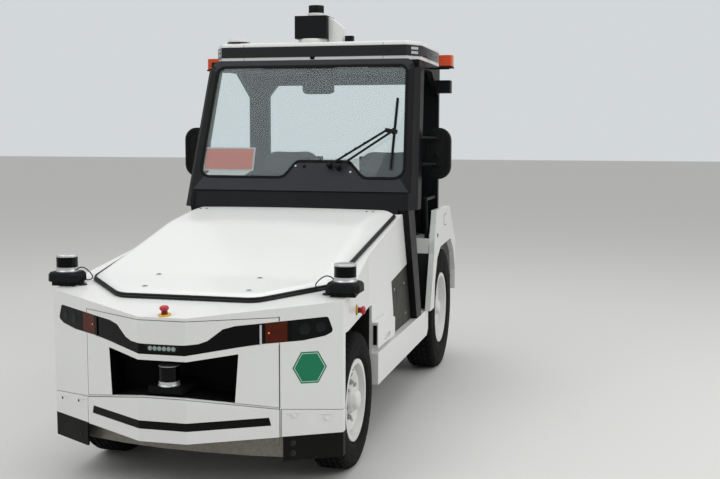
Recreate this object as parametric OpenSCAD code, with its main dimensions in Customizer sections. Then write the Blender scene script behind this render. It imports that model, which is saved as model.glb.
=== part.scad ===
/* [Overall] */
// Distance between the two axles
wheelbase = 2210; // [2200:5:2240]
// Front bumper to the front axle
front_overhang = 740; // [735:1:760]
// Rear axle to the end of the tow coupling
rear_overhang = 550; // [540:2:580]
// Width over the front corners of the body
nose_w = 1360; // [1350:2:1400]
// Width of the body beside the cab
waist_w = 1240; // [1230:2:1250]
// Flat part in the middle of the nose, seen from above
nose_flat_w = 210; // [180:5:260]
// Angle by which the nose facets sweep back
nose_sweep = 30; // [28:0.5:31]
// Thickness of the body panels
panel_t = 12; // [8:1:14]
// Gap where two body panels meet
seam = 3; // [2:0.5:5]

/* [Wheels] */
// Radius of the front tyres
front_tyre_r = 315; // [305:1:318]
// Width of the front tyres
front_tyre_w = 170; // [150:1:175]
// Radius of the front rims
front_rim_r = 182; // [178:1:190]
// Radius of the rear tyres
rear_tyre_r = 395; // [385:1:400]
// Width of the rear tyres
rear_tyre_w = 200; // [180:1:205]
// Radius of the rear rims
rear_rim_r = 222; // [215:1:235]
// Middle of a front tyre from the centre line
front_wheel_x = 555; // [550:1:560]
// Middle of a rear tyre from the centre line
rear_wheel_x = 560; // [555:1:565]
// Steering pivot from the centre line
king_pin_x = 490; // [485:1:495]
// Steering arm, pivot to tie rod
steer_arm_l = 105; // [95:1:110]
// Radial play of the wheel hubs on their stub axles
hub_play = 0.05; // [0.03:0.01:0.1]

/* [Heights] */
// Lower edge of the white body
body_bottom = 280; // [270:1:290]
// Lower edge of the rubber skirts and the under plate
skirt_bottom = 174; // [165:1:190]
// Top of the nose at its tip
face_top = 797; // [785:1:810]
// Top of the front wheel arches
arch_top = 700; // [690:1:710]
// Top of the side sills
sill_top = 460; // [450:1:470]
// Lower edge of the side sills
sill_bottom = 300; // [280:1:320]
// Cab floor
floor_z = 450; // [440:1:458]
// Seat platform and rear deck
platform_z = 893; // [880:1:900]
// Underside of the roof trim
roof_z = 1972; // [1960:1:1990]

/* [Cab] */
// Rake of the windscreen from the vertical
screen_rake = 19.9; // [19:0.1:21]
// Height of the lower edge of the glass
glass_z = 1297; // [1290:1:1305]
// Length of the glass up its slope
glass_h = 675; // [670:1:680]
// Half width of the glass at its lower edge
glass_bottom_x = 608; // [600:1:612]
// Half width of the glass at its upper edge
glass_top_x = 574; // [565:1:580]
// Half width of the roof
roof_x = 640; // [630:1:650]
// Depth of the roof band
fascia_h = 62; // [50:1:70]
// Radius of the steering wheel
steering_wheel_r = 180; // [170:1:190]
// Width of one seat
seat_w = 440; // [420:2:470]
// Middle of a seat from the centre line
seat_x = 330; // [320:1:340]

/* [Front details] */
// Radius of the sensors at the front corners
corner_sensor_r = 49; // [45:1:52]
// Radius of the sensor in the grille
grille_sensor_r = 43; // [40:1:46]
// Depth of the grille box
grille_depth = 150; // [120:5:170]
// Height of the rubber seal round the hood
seal_h = 10; // [6:1:14]
// Width of the rubber seal round the hood
seal_w = 34; // [28:1:40]

/* [Coupling] */
// Radius of the tow pin
tow_pin_r = 16; // [14:0.5:18]
// Clear height between the two jaw plates
tow_jaw_gap = 60; // [50:1:70]
// Middle of the jaw above the ground
tow_z = 380; // [370:1:400]

/* [Hidden] */
$fn = 48;
arc_steps = 6;

white = "whitesmoke";
black = "#202124";
cab_grey = "#3c3e44";
steel = "#6d6e68";
amber = "orangered";
clear_grey = "#9fb0b4";

overall_l = front_overhang + wheelbase + rear_overhang;
front_y = -overall_l / 2;
rear_y = overall_l / 2;
front_axle_y = front_y + front_overhang;
rear_axle_y = front_axle_y + wheelbase;
nose_x = nose_w / 2;
waist_x = waist_w / 2;
fender_in = waist_x + 25;
fender_t = 35;
fender_out = fender_in + fender_t;
corner_y = front_y + (nose_x - nose_flat_w / 2) * tan(nose_sweep);
steer_reach = 370;
arch_front_y = front_axle_y - steer_reach;
arch_rear_y = front_axle_y + 365;
hood_rear_y = front_axle_y + 1045;
cowl_y = hood_rear_y + 35;
riser_y = rear_axle_y - 430;
deck_break_y = front_y + 511;
deck_slope_front = 0.131;
deck_slope_rear = 0.176;
inner_wheel_x = 276;
far = 2000;

function deck_z(y) = y < deck_break_y
    ? face_top + (y - front_y) * deck_slope_front
    : deck_z(deck_break_y - 0.001) + (y - deck_break_y) * deck_slope_rear;
function mirrored(half) = concat([for (p = half) [-p.x, p.y]], [for (i = [len(half) - 1:-1:0]) half[i]]);
function unit(v) = v / norm(v);
function arc_at(a, b, c, r) = r <= 0 ? [b] : let (
    u = unit(a - b), v = unit(c - b), half = acos(u * v) / 2,
    centre = b + unit(u + v) * r / sin(half),
    s = (b + u * r / tan(half) - centre) / r,
    e = (b + v * r / tan(half) - centre) / r,
    turn = 180 - 2 * half)
    [for (k = [0:arc_steps]) centre
        + r * (s * sin(turn * (1 - k / arc_steps)) + e * sin(turn * k / arc_steps)) / sin(turn)];
function rounded(corners) = let (n = len(corners)) [for (i = [0:n - 1]) each arc_at(
    [corners[(i + n - 1) % n].x, corners[(i + n - 1) % n].y], [corners[i].x, corners[i].y],
    [corners[(i + 1) % n].x, corners[(i + 1) % n].y], corners[i].z)];

// Outline of the body from above, moved inwards by d
function nose_outline(d) = let (
    h = nose_x - d,
    c = nose_flat_w / 2 - d * tan(nose_sweep / 2),
    face_y = front_y + d / cos(nose_sweep) + (h - nose_flat_w / 2) * tan(nose_sweep))
    mirrored([[c, front_y + d], [h, face_y], [h, corner_y + 88], [waist_x - d, arch_rear_y - 55],
        [waist_x - d, rear_y]]);

module both_sides() {
    children();
    mirror([1, 0, 0]) children();
}
// Outline in Y and Z, drawn from x0 to x1
module side_slab(x0, x1, outline) {
    translate([x0, 0, 0]) rotate([90, 0, 90]) linear_extrude(x1 - x0) polygon(outline);
}
// Outline in X and Z, drawn from y0 to y1
module front_slab(y0, y1, outline) {
    translate([0, y1, 0]) rotate([90, 0, 0]) linear_extrude(y1 - y0) polygon(outline);
}
// Outline in X and Y, drawn from z0 to z1
module plan_slab(z0, z1, outline) {
    translate([0, 0, z0]) linear_extrude(z1 - z0) polygon(outline);
}
module block(low, high) {
    translate(low) cube(high - low);
}
module rod_x(x0, x1, r, y, z) {
    translate([x0, y, z]) rotate([0, 90, 0]) cylinder(r = r, h = x1 - x0);
}
module rod_y(y0, y1, r, x, z) {
    translate([x, y0, z]) rotate([-90, 0, 0]) cylinder(r = r, h = y1 - y0);
}
// Straight round bar between two points
module bar(a, b, r) {
    d = b - a;
    translate(a) rotate([0, acos(d.z / norm(d)), atan2(d.y, d.x)]) cylinder(r = r, h = norm(d));
}

// Skin of the nose between two inward distances
module face_ring(d0, d1) {
    difference() {
        plan_slab(0, far, nose_outline(d0));
        plan_slab(-1, far + 1, nose_outline(d1));
    }
}

/* Chassis */
rail_in = 190;
rail_out = 250;
rail_bottom = 250;
rail_top = 370;
rail_kick = 270;
rail_end_y = rear_y - 122;
plate_t = 12;
bumper_t = 30;
bearer_top = floor_z - 6;

module chassis_frame() {
    kick_y = riser_y - 20;
    color(black) {
        both_sides() intersection() {
            side_slab(rail_in, rail_out, [
                [front_y, rail_top - 80], [front_y, rail_top], [kick_y, rail_top],
                [kick_y + 120, rail_top + rail_kick], [rail_end_y, rail_top + rail_kick],
                [rail_end_y, rail_bottom + rail_kick], [kick_y + 140, rail_bottom + rail_kick],
                [kick_y + 20, rail_bottom], [front_y + 270, rail_bottom], [front_y + 270, rail_top - 80]]);
            plan_slab(0, far, nose_outline(bumper_t));
        }
        for (y = [front_y + 280, front_axle_y + 380])
            block([-rail_in, y, rail_bottom + 20], [rail_in, y + 60, rail_top - 10]);
        for (y = [cowl_y + 60, riser_y - 190])
            block([-waist_x + 20, y, rail_top], [waist_x - 20, y + 60, bearer_top]);
        block([-rail_in, rear_axle_y + 280, rail_bottom + rail_kick + 20],
            [rail_in, rear_axle_y + 330, rail_top + rail_kick]);
        block([-rail_out, rail_end_y, tow_z - 80], [rail_out, rail_end_y + plate_t, rail_top + rail_kick]);
        block([-fender_out + 40, rail_end_y + plate_t, tow_z + 90],
            [fender_out - 40, rail_end_y + 56, tow_z + 180]);
    }
}

module battery_block() {
    color(steel) block([-rail_out + 10, front_axle_y - 330, rail_top],
        [rail_out - 10, front_axle_y + 500, rail_top + 430]);
}

module drive_unit() {
    color(steel) difference() {
        union() {
            rod_y(rear_axle_y - 330, rear_axle_y - 90, 115, 0, rear_tyre_r);
            rod_y(rear_axle_y - 90, rear_axle_y - axle_r, 90, 0, rear_tyre_r);
        }
        rod_x(-far, far, axle_r, rear_axle_y, rear_tyre_r);
    }
}

axle_r = 48;
stub_r = 24;
rear_stub_x = rear_wheel_x - rear_tyre_w / 2 - 20;
rear_disc_x = rear_wheel_x + 28;

module rear_axle() {
    color(black) {
        rod_x(-rear_stub_x, rear_stub_x, axle_r, rear_axle_y, rear_tyre_r);
        both_sides() {
            rod_x(rear_stub_x, rear_stub_x + 36, 130, rear_axle_y, rear_tyre_r);
            rod_x(rear_stub_x + 36, rear_disc_x + 10, stub_r, rear_axle_y, rear_tyre_r);
        }
    }
}

// Leaf spring pack, flat in the middle at z and its ends up by rise
function leaf_rise(k, rise) = rise * pow(max(0, abs(k) - 1) / 7, 2);
function leaf(mid_y, half, z, rise, t) = concat(
    [for (k = [-8:8]) [mid_y + half * k / 8, z + t + leaf_rise(k, rise)]],
    [for (k = [8:-1:-8]) [mid_y + half * k / 8, z + t * (1 - cos(90 * k / 8)) * 0.7 + leaf_rise(k, rise)]]);

spring_half = 330;
spring_t = 30;
axle_seat_z = rear_tyre_r + axle_r;
beam_low = 180;
boss_r = 30;
boss_h = 90;
pin_r = 14;

module front_axle_beam() {
    z = front_tyre_r;
    color(black) difference() {
        union() {
            front_slab(front_axle_y - 32, front_axle_y + 32, mirrored([
                [330, beam_low], [king_pin_x - 50, z - 38], [king_pin_x - 20, z - 38], [king_pin_x - 20, z + 38],
                [king_pin_x - 60, z + 35], [310, beam_low + 60]]));
            both_sides() translate([king_pin_x, front_axle_y, z - boss_h / 2]) cylinder(r = boss_r, h = boss_h);
        }
        both_sides() translate([king_pin_x, front_axle_y, 0]) cylinder(r = pin_r + hub_play, h = far);
    }
}

// Leaf spring packs: under the front beam and on top of the rear axle
module leaf_springs() {
    color(black) both_sides() {
        side_slab(rail_in + 5, rail_out - 5, leaf(front_axle_y, spring_half,
            beam_low - spring_t, rail_bottom - beam_low, spring_t));
        side_slab(rail_in + 5, rail_out - 5, leaf(rear_axle_y, spring_half - 30,
            axle_seat_z, rail_bottom + rail_kick - axle_seat_z - spring_t, spring_t));
    }
}

fork_t = 22;
fork_web_x = king_pin_x + boss_r + 5;
front_disc_x = front_wheel_x + 34;
arm_z = front_tyre_r - 90;
ball_r = 6;

module knuckle() {
    z = front_tyre_r;
    top = z + boss_h / 2 + 0.3;
    low = z - boss_h / 2 - 0.3 - fork_t;
    color(steel) {
        union() {
            for (base = [low, top]) hull() {
                translate([king_pin_x, front_axle_y, base]) cylinder(r = boss_r, h = fork_t, $fn = 32);
                block([fork_web_x, front_axle_y - 30, base], [fork_web_x + 18, front_axle_y + 30, base + fork_t]);
            }
            block([fork_web_x, front_axle_y - 30, low], [fork_web_x + 18, front_axle_y + 30, top + fork_t]);
            rod_x(fork_web_x + 18, front_disc_x + 12, stub_r, front_axle_y, z);
            translate([king_pin_x, front_axle_y, low]) cylinder(r = pin_r, h = top + fork_t - low);
            block([king_pin_x - 14, front_axle_y, arm_z + 10], [king_pin_x + 14, front_axle_y + steer_arm_l, low + 1]);
            translate([king_pin_x, front_axle_y + steer_arm_l, arm_z + 10]) cylinder(r = 14, h = low - arm_z - 9);
            translate([king_pin_x, front_axle_y + steer_arm_l, arm_z - 10]) cylinder(r = ball_r, h = 24);
        }
    }
}

module tie_rod() {
    color(steel) difference() {
        union() {
            rod_x(-king_pin_x + 10, king_pin_x - 10, 8, front_axle_y + steer_arm_l, arm_z);
            both_sides() translate([king_pin_x, front_axle_y + steer_arm_l, arm_z - 8]) cylinder(r = 13, h = 16);
        }
        translate([king_pin_x, front_axle_y + steer_arm_l, 0]) cylinder(r = ball_r + hub_play, h = far);
        translate([-king_pin_x, front_axle_y + steer_arm_l, 0]) cylinder(r = ball_r + 1, h = far);
    }
}

/* Wheels */
// Tyre section by radius and half width
module tyre(r, w, rim_r) {
    shoulder = 26;
    h = w / 2;
    section = rounded([[rim_r, -h + 22, 0], [rim_r + 8, -h + 22, 0], [rim_r + 30, -h + 4, 14], [(r + rim_r) / 2 + 6, -h, 60],
        [r - shoulder, -h + 4, 14], [r, -h + 22, 16], [r, h - 22, 16], [r - shoulder, h - 4, 14],
        [(r + rim_r) / 2 + 6, h, 60], [rim_r + 30, h - 4, 14], [rim_r + 8, h - 22, 0], [rim_r, h - 22, 0]]);
    color(black) rotate([0, 90, 0]) rotate_extrude() polygon(section);
}
// Pressed steel rim with a dished disc, hand holes and a hub on the stub axle
module rim(w, rim_r, disc_x, hub_in, hub_out, bore, holes) {
    well = 12;
    lip = w / 2 - 22;
    barrel = [[rim_r - 14, -lip - 10], [rim_r + 8, -lip - 10], [rim_r + 8, -lip], [rim_r, -lip],
        [rim_r, lip], [rim_r + 8, lip], [rim_r + 8, lip + 10], [rim_r - 14, lip + 10]];
    disc = [[bore - 1, hub_in], [62, hub_in], [62, disc_x - 6], [rim_r * 0.55, disc_x - 12],
        [rim_r - 40, disc_x + 6], [rim_r - 10, disc_x - 14], [rim_r - 10, disc_x - 2],
        [rim_r - 42, disc_x + 18], [rim_r * 0.55, disc_x], [62, disc_x + 6], [58, hub_out], [bore - 1, hub_out]];
    color(white) difference() {
        rotate([0, 90, 0]) rotate_extrude() union() {
            polygon(barrel);
            polygon(disc);
        }
        rod_x(-far, far, bore, 0, 0);
        for (k = [0:holes - 1]) rotate([360 / holes * (k + 0.5), 0, 0])
            translate([0, 0, rim_r * 0.55 + 14]) rod_x(-far, far, well, 0, 0);
    }
}
module front_tyre_at(x) {
    translate([x, front_axle_y, front_tyre_r]) tyre(front_tyre_r, front_tyre_w, front_rim_r);
}
module rear_tyre_at(x) {
    translate([x, rear_axle_y, rear_tyre_r]) tyre(rear_tyre_r, rear_tyre_w, rear_rim_r);
}
module front_rim() {
    translate([front_wheel_x, front_axle_y, front_tyre_r]) rim(front_tyre_w, front_rim_r,
        front_disc_x - front_wheel_x, fork_web_x + 18.5 - front_wheel_x, front_disc_x + 30 - front_wheel_x,
        stub_r + hub_play, 8);
}
module rear_rim() {
    translate([rear_wheel_x, rear_axle_y, rear_tyre_r]) rim(rear_tyre_w, rear_rim_r,
        rear_disc_x - rear_wheel_x, rear_stub_x + 36.5 - rear_wheel_x, rear_disc_x + 30 - rear_wheel_x,
        stub_r + hub_play, 10);
}

/* Front body */
mask_inset = 5;
mask_x = 437;
mask_top = face_top - 14;
mask_bottom = 472;
chevron_z = 400;
bumper_x = 437;
lamp_outline = rounded([for (p = concat(
    [for (q = [[0, 686], [80, 686], [148, 690], [180, 701], [235, 746], [280, 757], [380, 763]]) [q.x, q.y, 0]],
    [[nose_x - 62, 779, 12], [nose_x - 42, 716, 16], [nose_x - 74, 699, 10]],
    [for (q = [[nose_x - 157, 684], [375, 678], [287, 669], [100, 645], [0, 645]]) [q.x, q.y, 0]]))
    [p.x, p.y + face_top - 797, p.z]]);
grille_outline = [[0, 620], [110, 620], [290, 641], [276, 437], [80, 468], [0, 468]];
function both_halves(half) = concat(half, [for (i = [len(half) - 1:-1:0]) [-half[i].x, half[i].y]]);
function raised(outline, dz) = [for (p = outline) [p.x, p.y + dz]];

module mask_area(grow) {
    front_slab(front_y - 50, corner_y, [[-mask_x - grow, chevron_z + 6 - grow], [-100, mask_bottom - grow],
        [100, mask_bottom - grow], [mask_x + grow, chevron_z + 6 - grow],
        [mask_x + grow, mask_top + grow], [-mask_x - grow, mask_top + grow]]);
}
module bumper_area(grow) {
    front_slab(front_y - 50, corner_y, [[-bumper_x - grow, body_bottom - grow], [bumper_x + grow, body_bottom - grow],
        [bumper_x + grow, chevron_z - 4 + grow], [100, mask_bottom - 10 + grow], [-100, mask_bottom - 10 + grow],
        [-bumper_x - grow, chevron_z - 4 + grow]]);
}
module cover_area(grow) {
    both_sides() front_slab(front_y - 50, arch_front_y + panel_t, [[mask_x + 8 - grow, body_bottom - 50],
        [nose_x + 50, body_bottom - 50], [nose_x + 50, 372 + grow], [mask_x + 8 - grow, 396 + grow]]);
}
module lamp_area(grow) {
    both_sides() front_slab(front_y - 50, corner_y + 100, raised(lamp_outline, 0));
    if (grow > 0) both_sides() front_slab(front_y - 50, corner_y + 100, raised(lamp_outline, grow));
    if (grow > 0) both_sides() front_slab(front_y - 50, corner_y + 100, raised(lamp_outline, -grow));
}
module grille_area(grow) {
    s = 1 + grow / 150;
    middle_z = 540;
    both_sides() front_slab(front_y - 50, front_y + 400,
        [for (p = grille_outline) [p.x * s, middle_z + (p.y - middle_z) * s]]);
}
// Space under the deck and inside the outline, both moved inwards
module nose_space(d, drop) {
    back = arch_rear_y + 1100;
    intersection() {
        plan_slab(0, far, nose_outline(d));
        side_slab(-nose_w, nose_w, [[front_y - 60, body_bottom - drop * 2],
            [front_y - 60, deck_z(front_y - 60) - drop], [deck_break_y, deck_z(deck_break_y) - drop],
            [back, deck_z(back) - drop], [back, body_bottom - drop * 2]]);
    }
}
// Everything of the side wall that stays: front corner, arch, waist, screen leg
leg_top_y = cowl_y + 12;
leg_foot_y = cowl_y + 294;
leg_w = 175;
leg_top_z = 1118;
function leg_y(z) = leg_foot_y + (leg_top_y - leg_foot_y) * (z - sill_top) / (leg_top_z - sill_top);
window_z = 800;
corner_z = 755;
side_cut_y = arch_rear_y + 450;
hood_outline = [[312, front_y + 262], [560, deck_break_y], [585, hood_rear_y]];
function inner_hood(d) = [[312 - d * 0.4, front_y + 262 + d], [560 - d, deck_break_y + d * 0.4],
    [585 - d, hood_rear_y - d]];

module front_body() {
    color(white) difference() {
        nose_space(mask_inset, 0);
        nose_space(mask_inset + panel_t, panel_t);
        both_sides() side_slab(inner_wheel_x, far, [[arch_front_y, 0], [arch_front_y, arch_top],
            [arch_rear_y, arch_top], [arch_rear_y, 0]]);
        side_slab(-far, far, [[arch_rear_y, 0], [arch_rear_y, sill_top], [side_cut_y + 55, sill_top],
            [side_cut_y + 55, 587], [side_cut_y, corner_z], [leg_y(window_z), window_z],
            [leg_y(deck_z(cowl_y)), deck_z(cowl_y)], [cowl_y, deck_z(cowl_y)],
            [cowl_y, far], [far, far], [far, 0]]);
        block([-waist_x + mask_inset + panel_t, cowl_y, 0], [waist_x - mask_inset - panel_t, far, far]);
        plan_slab(0, far, mirrored(inner_hood(seal_w)));
        mask_area(seam);
        bumper_area(seam);
        cover_area(seam);
        lamp_area(1);
        block([-mask_x, front_y - 10, 0], [mask_x, corner_y, body_bottom + 60]);
    }
}
module front_mask() {
    color(white) difference() {
        intersection() {
            face_ring(mask_inset, mask_inset + panel_t);
            mask_area(0);
        }
        lamp_area(1);
        grille_area(0);
    }
}
module front_bumper() {
    color(white) {
        difference() {
            intersection() {
                face_ring(0, bumper_t);
                bumper_area(0);
            }
            intersection() {
                face_ring(-1, 12);
                front_slab(front_y - 50, corner_y, strip_outline(0));
            }
        }
        corner_covers();
    }
}
function strip_outline(g) = [[-408 - g, 332 - g], [-400 - g, 367 + g], [400 + g, 367 + g], [408 + g, 332 - g]];
// Rubber strip in the bumper and the skirts under the corners
module rubber_trim() {
    color(black) {
        intersection() {
            face_ring(2, 12);
            front_slab(front_y - 50, corner_y, strip_outline(0));
        }
        intersection() {
            face_ring(mask_inset, mask_inset + panel_t);
            both_sides() block([mask_x + 12, front_y - 50, skirt_bottom], [far, arch_front_y, body_bottom]);
        }
    }
}
module corner_covers() {
    intersection() {
        face_ring(mask_inset, mask_inset + panel_t);
        cover_area(0);
        block([-far, front_y - 50, body_bottom], [far, arch_front_y, far]);
    }
}
module under_plate() {
    plate_y = front_y + 260;
    color(steel) union() {
        front_slab(plate_y, plate_y + 5, [[-400, skirt_bottom], [400, skirt_bottom],
            [430, body_bottom], [-430, body_bottom]]);
        intersection() {
            block([-430, front_y, body_bottom - 5], [430, plate_y + 1, body_bottom]);
            plan_slab(0, far, nose_outline(2));
        }
    }
}
signal_x0 = 387;
signal_x1 = 467;
module signal_area(x0, x1, grow) {
    both_sides() block([x0 - grow, front_y - 50, 0], [x1 + grow, corner_y + 100, far]);
}
bar_outline = [[-75, 657], [-75, 683], [75, 683], [75, 657]];
module lamp_band() {
    color(black) difference() {
        intersection() {
            face_ring(mask_inset + 1, mask_inset + 16);
            lamp_area(0);
        }
        intersection() {
            face_ring(-5, mask_inset + 9);
            signal_area(signal_x0, signal_x1, 1);
        }
        intersection() {
            face_ring(-5, mask_inset + 9);
            signal_area(signal_x1 + 12, far, 1);
        }
        intersection() {
            face_ring(-5, mask_inset + 9);
            front_slab(front_y - 50, corner_y, bar_outline);
        }
    }
}
module turn_signals() {
    color(amber) intersection() {
        face_ring(mask_inset + 1, mask_inset + 9);
        lamp_area(0);
        signal_area(signal_x0, signal_x1, 0);
    }
}
// Headlamp units at the tips and the light bar in the middle
module headlamps() {
    color(clear_grey) {
        intersection() {
            face_ring(mask_inset + 1, mask_inset + 9);
            lamp_area(0);
            signal_area(signal_x1 + 12, far, 0);
        }
        intersection() {
            face_ring(mask_inset + 1, mask_inset + 9);
            front_slab(front_y - 50, corner_y, bar_outline);
        }
    }
}
grille_back_y = front_y + grille_depth + 90;
shelf_z = 505;
module grille_box() {
    color(black) {
        intersection() {
            plan_slab(0, far, nose_outline(mask_inset + panel_t));
            block([-far, front_y, 0], [far, grille_back_y, far]);
            difference() {
                grille_area(6);
                intersection() {
                    grille_area(0);
                    block([-far, front_y - 60, 0], [far, grille_back_y - 6, far]);
                }
            }
        }
        block([-75, front_y + 30, shelf_z - 30], [75, grille_back_y - 6, shelf_z]);
    }
}
module grille_sensor() {
    color(black) translate([0, front_y + 30 + grille_sensor_r, shelf_z]) {
        cylinder(r = grille_sensor_r - 3, h = 12);
        cylinder(r = grille_sensor_r, h = 87);
    }
}
sensor_x = nose_x - 22;
sensor_y = front_y + 430;
sensor_base_z = deck_z(sensor_y) + 44;
module corner_sensors() {
    color(black) both_sides() translate([sensor_x, sensor_y, sensor_base_z]) {
        cylinder(r = corner_sensor_r + 4, h = 14);
        cylinder(r = corner_sensor_r, h = 92);
    }
}
module corner_sensor_mounts() {
    foot_z = deck_z(sensor_y + 70);
    color(black) both_sides() {
        plan_slab(foot_z + 3, sensor_base_z, rounded([for (p = [[-98, -70], [98, -70], [98, 70], [-98, 70]])
            [sensor_x + p.x, sensor_y + p.y, 26]]));
        side_slab(nose_x - 92, nose_x - 40, [[sensor_y - 30, deck_z(sensor_y - 30)], [sensor_y + 60, deck_z(sensor_y + 60)],
            [sensor_y + 60, foot_z + 3], [sensor_y - 30, foot_z + 3]]);
    }
}
lead_r = 5;
// Points of the lead: inwards from the sensor, back from the nose, height over the deck
lead_route = [[90, 420, 30], [118, 416, 36], [142, 408, 22], [148, 400, -8]];
function curve(p, t) = p[0] * pow(1 - t, 3) + 3 * p[1] * t * pow(1 - t, 2) + 3 * p[2] * t * t * (1 - t)
    + p[3] * pow(t, 3);
// Tube of 8 sides through the rings of a smooth route
module tube(path, r) {
    sides = 8;
    n = len(path);
    rings = [for (i = [0:n - 1]) let (
        d = unit(path[min(i + 1, n - 1)] - path[max(i - 1, 0)]),
        a = unit(cross(d, [0, 1, 0])), b = cross(d, a))
        for (k = [0:sides - 1]) path[i] + r * (cos(360 * k / sides) * a + sin(360 * k / sides) * b)];
    polyhedron(points = rings, faces = concat(
        [[for (k = [0:sides - 1]) k]],
        [[for (k = [sides - 1:-1:0]) (n - 1) * sides + k]],
        [for (i = [0:n - 2]) for (k = [0:sides - 1]) [i * sides + k, (i + 1) * sides + k,
            (i + 1) * sides + (k + 1) % sides, i * sides + (k + 1) % sides]]));
}
module sensor_leads() {
    route = [for (p = lead_route) [sensor_x - p.x, front_y + p.y, deck_z(front_y + 400) + p.z]];
    color(black) both_sides() difference() {
        tube([for (k = [0:8]) curve(route, k / 8)], lead_r);
        block([sensor_x - 98, front_y, 0], [far, 0, far]);
        side_slab(0, far, [[front_y, 0], [front_y, deck_z(front_y)], [front_y + 500, deck_z(front_y + 500)],
            [front_y + 500, 0]]);
    }
}
module emergency_button() {
    cylinder(r = 20, h = 14);
    cylinder(r = 11, h = 28);
    translate([0, 0, 28]) cylinder(r = 16, h = 14);
}
module emergency_buttons() {
    front = front_y + 40;
    side_y = arch_front_y + 277;
    side_slope = (nose_x - waist_x) / (arch_rear_y - 55 - corner_y - 88);
    side_x = nose_x - mask_inset - (side_y - corner_y - 88) * side_slope;
    color("firebrick") {
        translate([0, front, deck_z(front)]) rotate([atan(deck_slope_front), 0, 0]) emergency_button();
        both_sides() translate([side_x, side_y, 752]) rotate([0, 0, atan(side_slope)]) rotate([0, 90, 0])
            translate([0, 0, 0.3]) emergency_button();
    }
}

/* Hood */
// Sections of the hood: y, half width of the crown, height over the deck
hood_sections = [[front_y + 290, 300, 22], [deck_break_y + 20, 510, 30],
    [front_y + 1250, 520, 84], [hood_rear_y - 170, 520, 62], [hood_rear_y - 24, 528, 40]];
module hood_form(d) {
    r = 22;
    hull() {
        for (s = hood_sections) for (side = [-1, 1])
            translate([side * (s[1] - d), s[0] + (s[0] < front_y + 600 ? d : s[0] > hood_rear_y - 100 ? -d : 0),
                deck_z(s[0]) + seal_h + s[2] - r - d * 0.6]) sphere(r = r, $fn = 24);
        intersection() {
            plan_slab(0, far, mirrored(inner_hood(d)));
            side_slab(-far, far, [[front_y, deck_z(front_y) + seal_h + 0.5], [deck_break_y, deck_z(deck_break_y) + seal_h + 0.5],
                [hood_rear_y, deck_z(hood_rear_y) + seal_h + 0.5], [hood_rear_y, deck_z(hood_rear_y) + seal_h + 4],
                [deck_break_y, deck_z(deck_break_y) + seal_h + 4], [front_y, deck_z(front_y) + seal_h + 4]]);
        }
    }
}
hinge_y = hood_rear_y + 13;
hinge_z = deck_z(hood_rear_y) + 13;
hinge_r = 7;
module hood() {
    color(white) union() {
        difference() {
            hood_form(2);
            translate([0, 0, -9]) hood_form(14);
            side_slab(-far, far, [for (p = [[front_y, 0], [deck_break_y, 1], [hood_rear_y + 60, 1],
                [hood_rear_y + 60, -1], [front_y, -1]])
                [p.x, p.y < 0 ? 0 : deck_z(p.x) + seal_h + 0.5]]);
        }
        both_sides() difference() {
            union() {
                rod_x(350, 380, hinge_r, hinge_y, hinge_z);
                block([350, hood_rear_y - 6, hinge_z - 2], [380, hinge_y, hinge_z + hinge_r]);
            }
            rod_x(340, 390, 3 + hub_play, hinge_y, hinge_z);
        }
    }
}
seal_glue = 0.1;
module hood_seal() {
    color(black) intersection() {
        difference() {
            plan_slab(0, far, mirrored(inner_hood(0)));
            plan_slab(-1, far + 1, mirrored(inner_hood(seal_w)));
        }
        side_slab(-far, far, concat(
            [for (y = [front_y, deck_break_y, hood_rear_y]) [y, deck_z(y) + seal_glue]],
            [for (y = [hood_rear_y, deck_break_y, front_y]) [y, deck_z(y) + seal_h]]));
    }
}
module hood_hinges() {
    color(steel) both_sides() {
        rod_x(330, 400, 3, hinge_y, hinge_z);
        for (x = [330, 388]) {
            rod_x(x, x + 12, hinge_r, hinge_y, hinge_z);
            side_slab(x, x + 12, [[hinge_y - 6, deck_z(hinge_y - 6)], [hinge_y + 6, deck_z(hinge_y + 6)],
                [hinge_y + 6, hinge_z], [hinge_y - 6, hinge_z]]);
        }
    }
}

/* Sides */
module arch_liners() {
    t = 6;
    color(steel) both_sides() difference() {
        intersection() {
            side_slab(inner_wheel_x - t, far, [[arch_front_y, body_bottom + 20],
                [arch_front_y, arch_top], [arch_rear_y, arch_top], [arch_rear_y, body_bottom + 20]]);
            plan_slab(0, far, nose_outline(mask_inset + panel_t));
        }
        side_slab(inner_wheel_x, far, [[arch_front_y + t, 0], [arch_front_y + t, arch_top - t],
            [arch_rear_y - t, arch_top - t], [arch_rear_y - t, 0]]);
        block([0, arch_front_y - 1, 0], [inner_wheel_x + 1, arch_rear_y + 1, rail_top + 10]);
    }
}
module side_panels() {
    x1 = waist_x - mask_inset - 2;
    color("#4a483f") both_sides() side_slab(x1 - 10, x1, [[side_cut_y + 57, sill_top], [side_cut_y + 57, 587],
        [side_cut_y + 2, corner_z - 2], [leg_y(window_z), window_z - 2], [leg_y(sill_top), sill_top]]);
}
side_box_x = 648;
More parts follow.
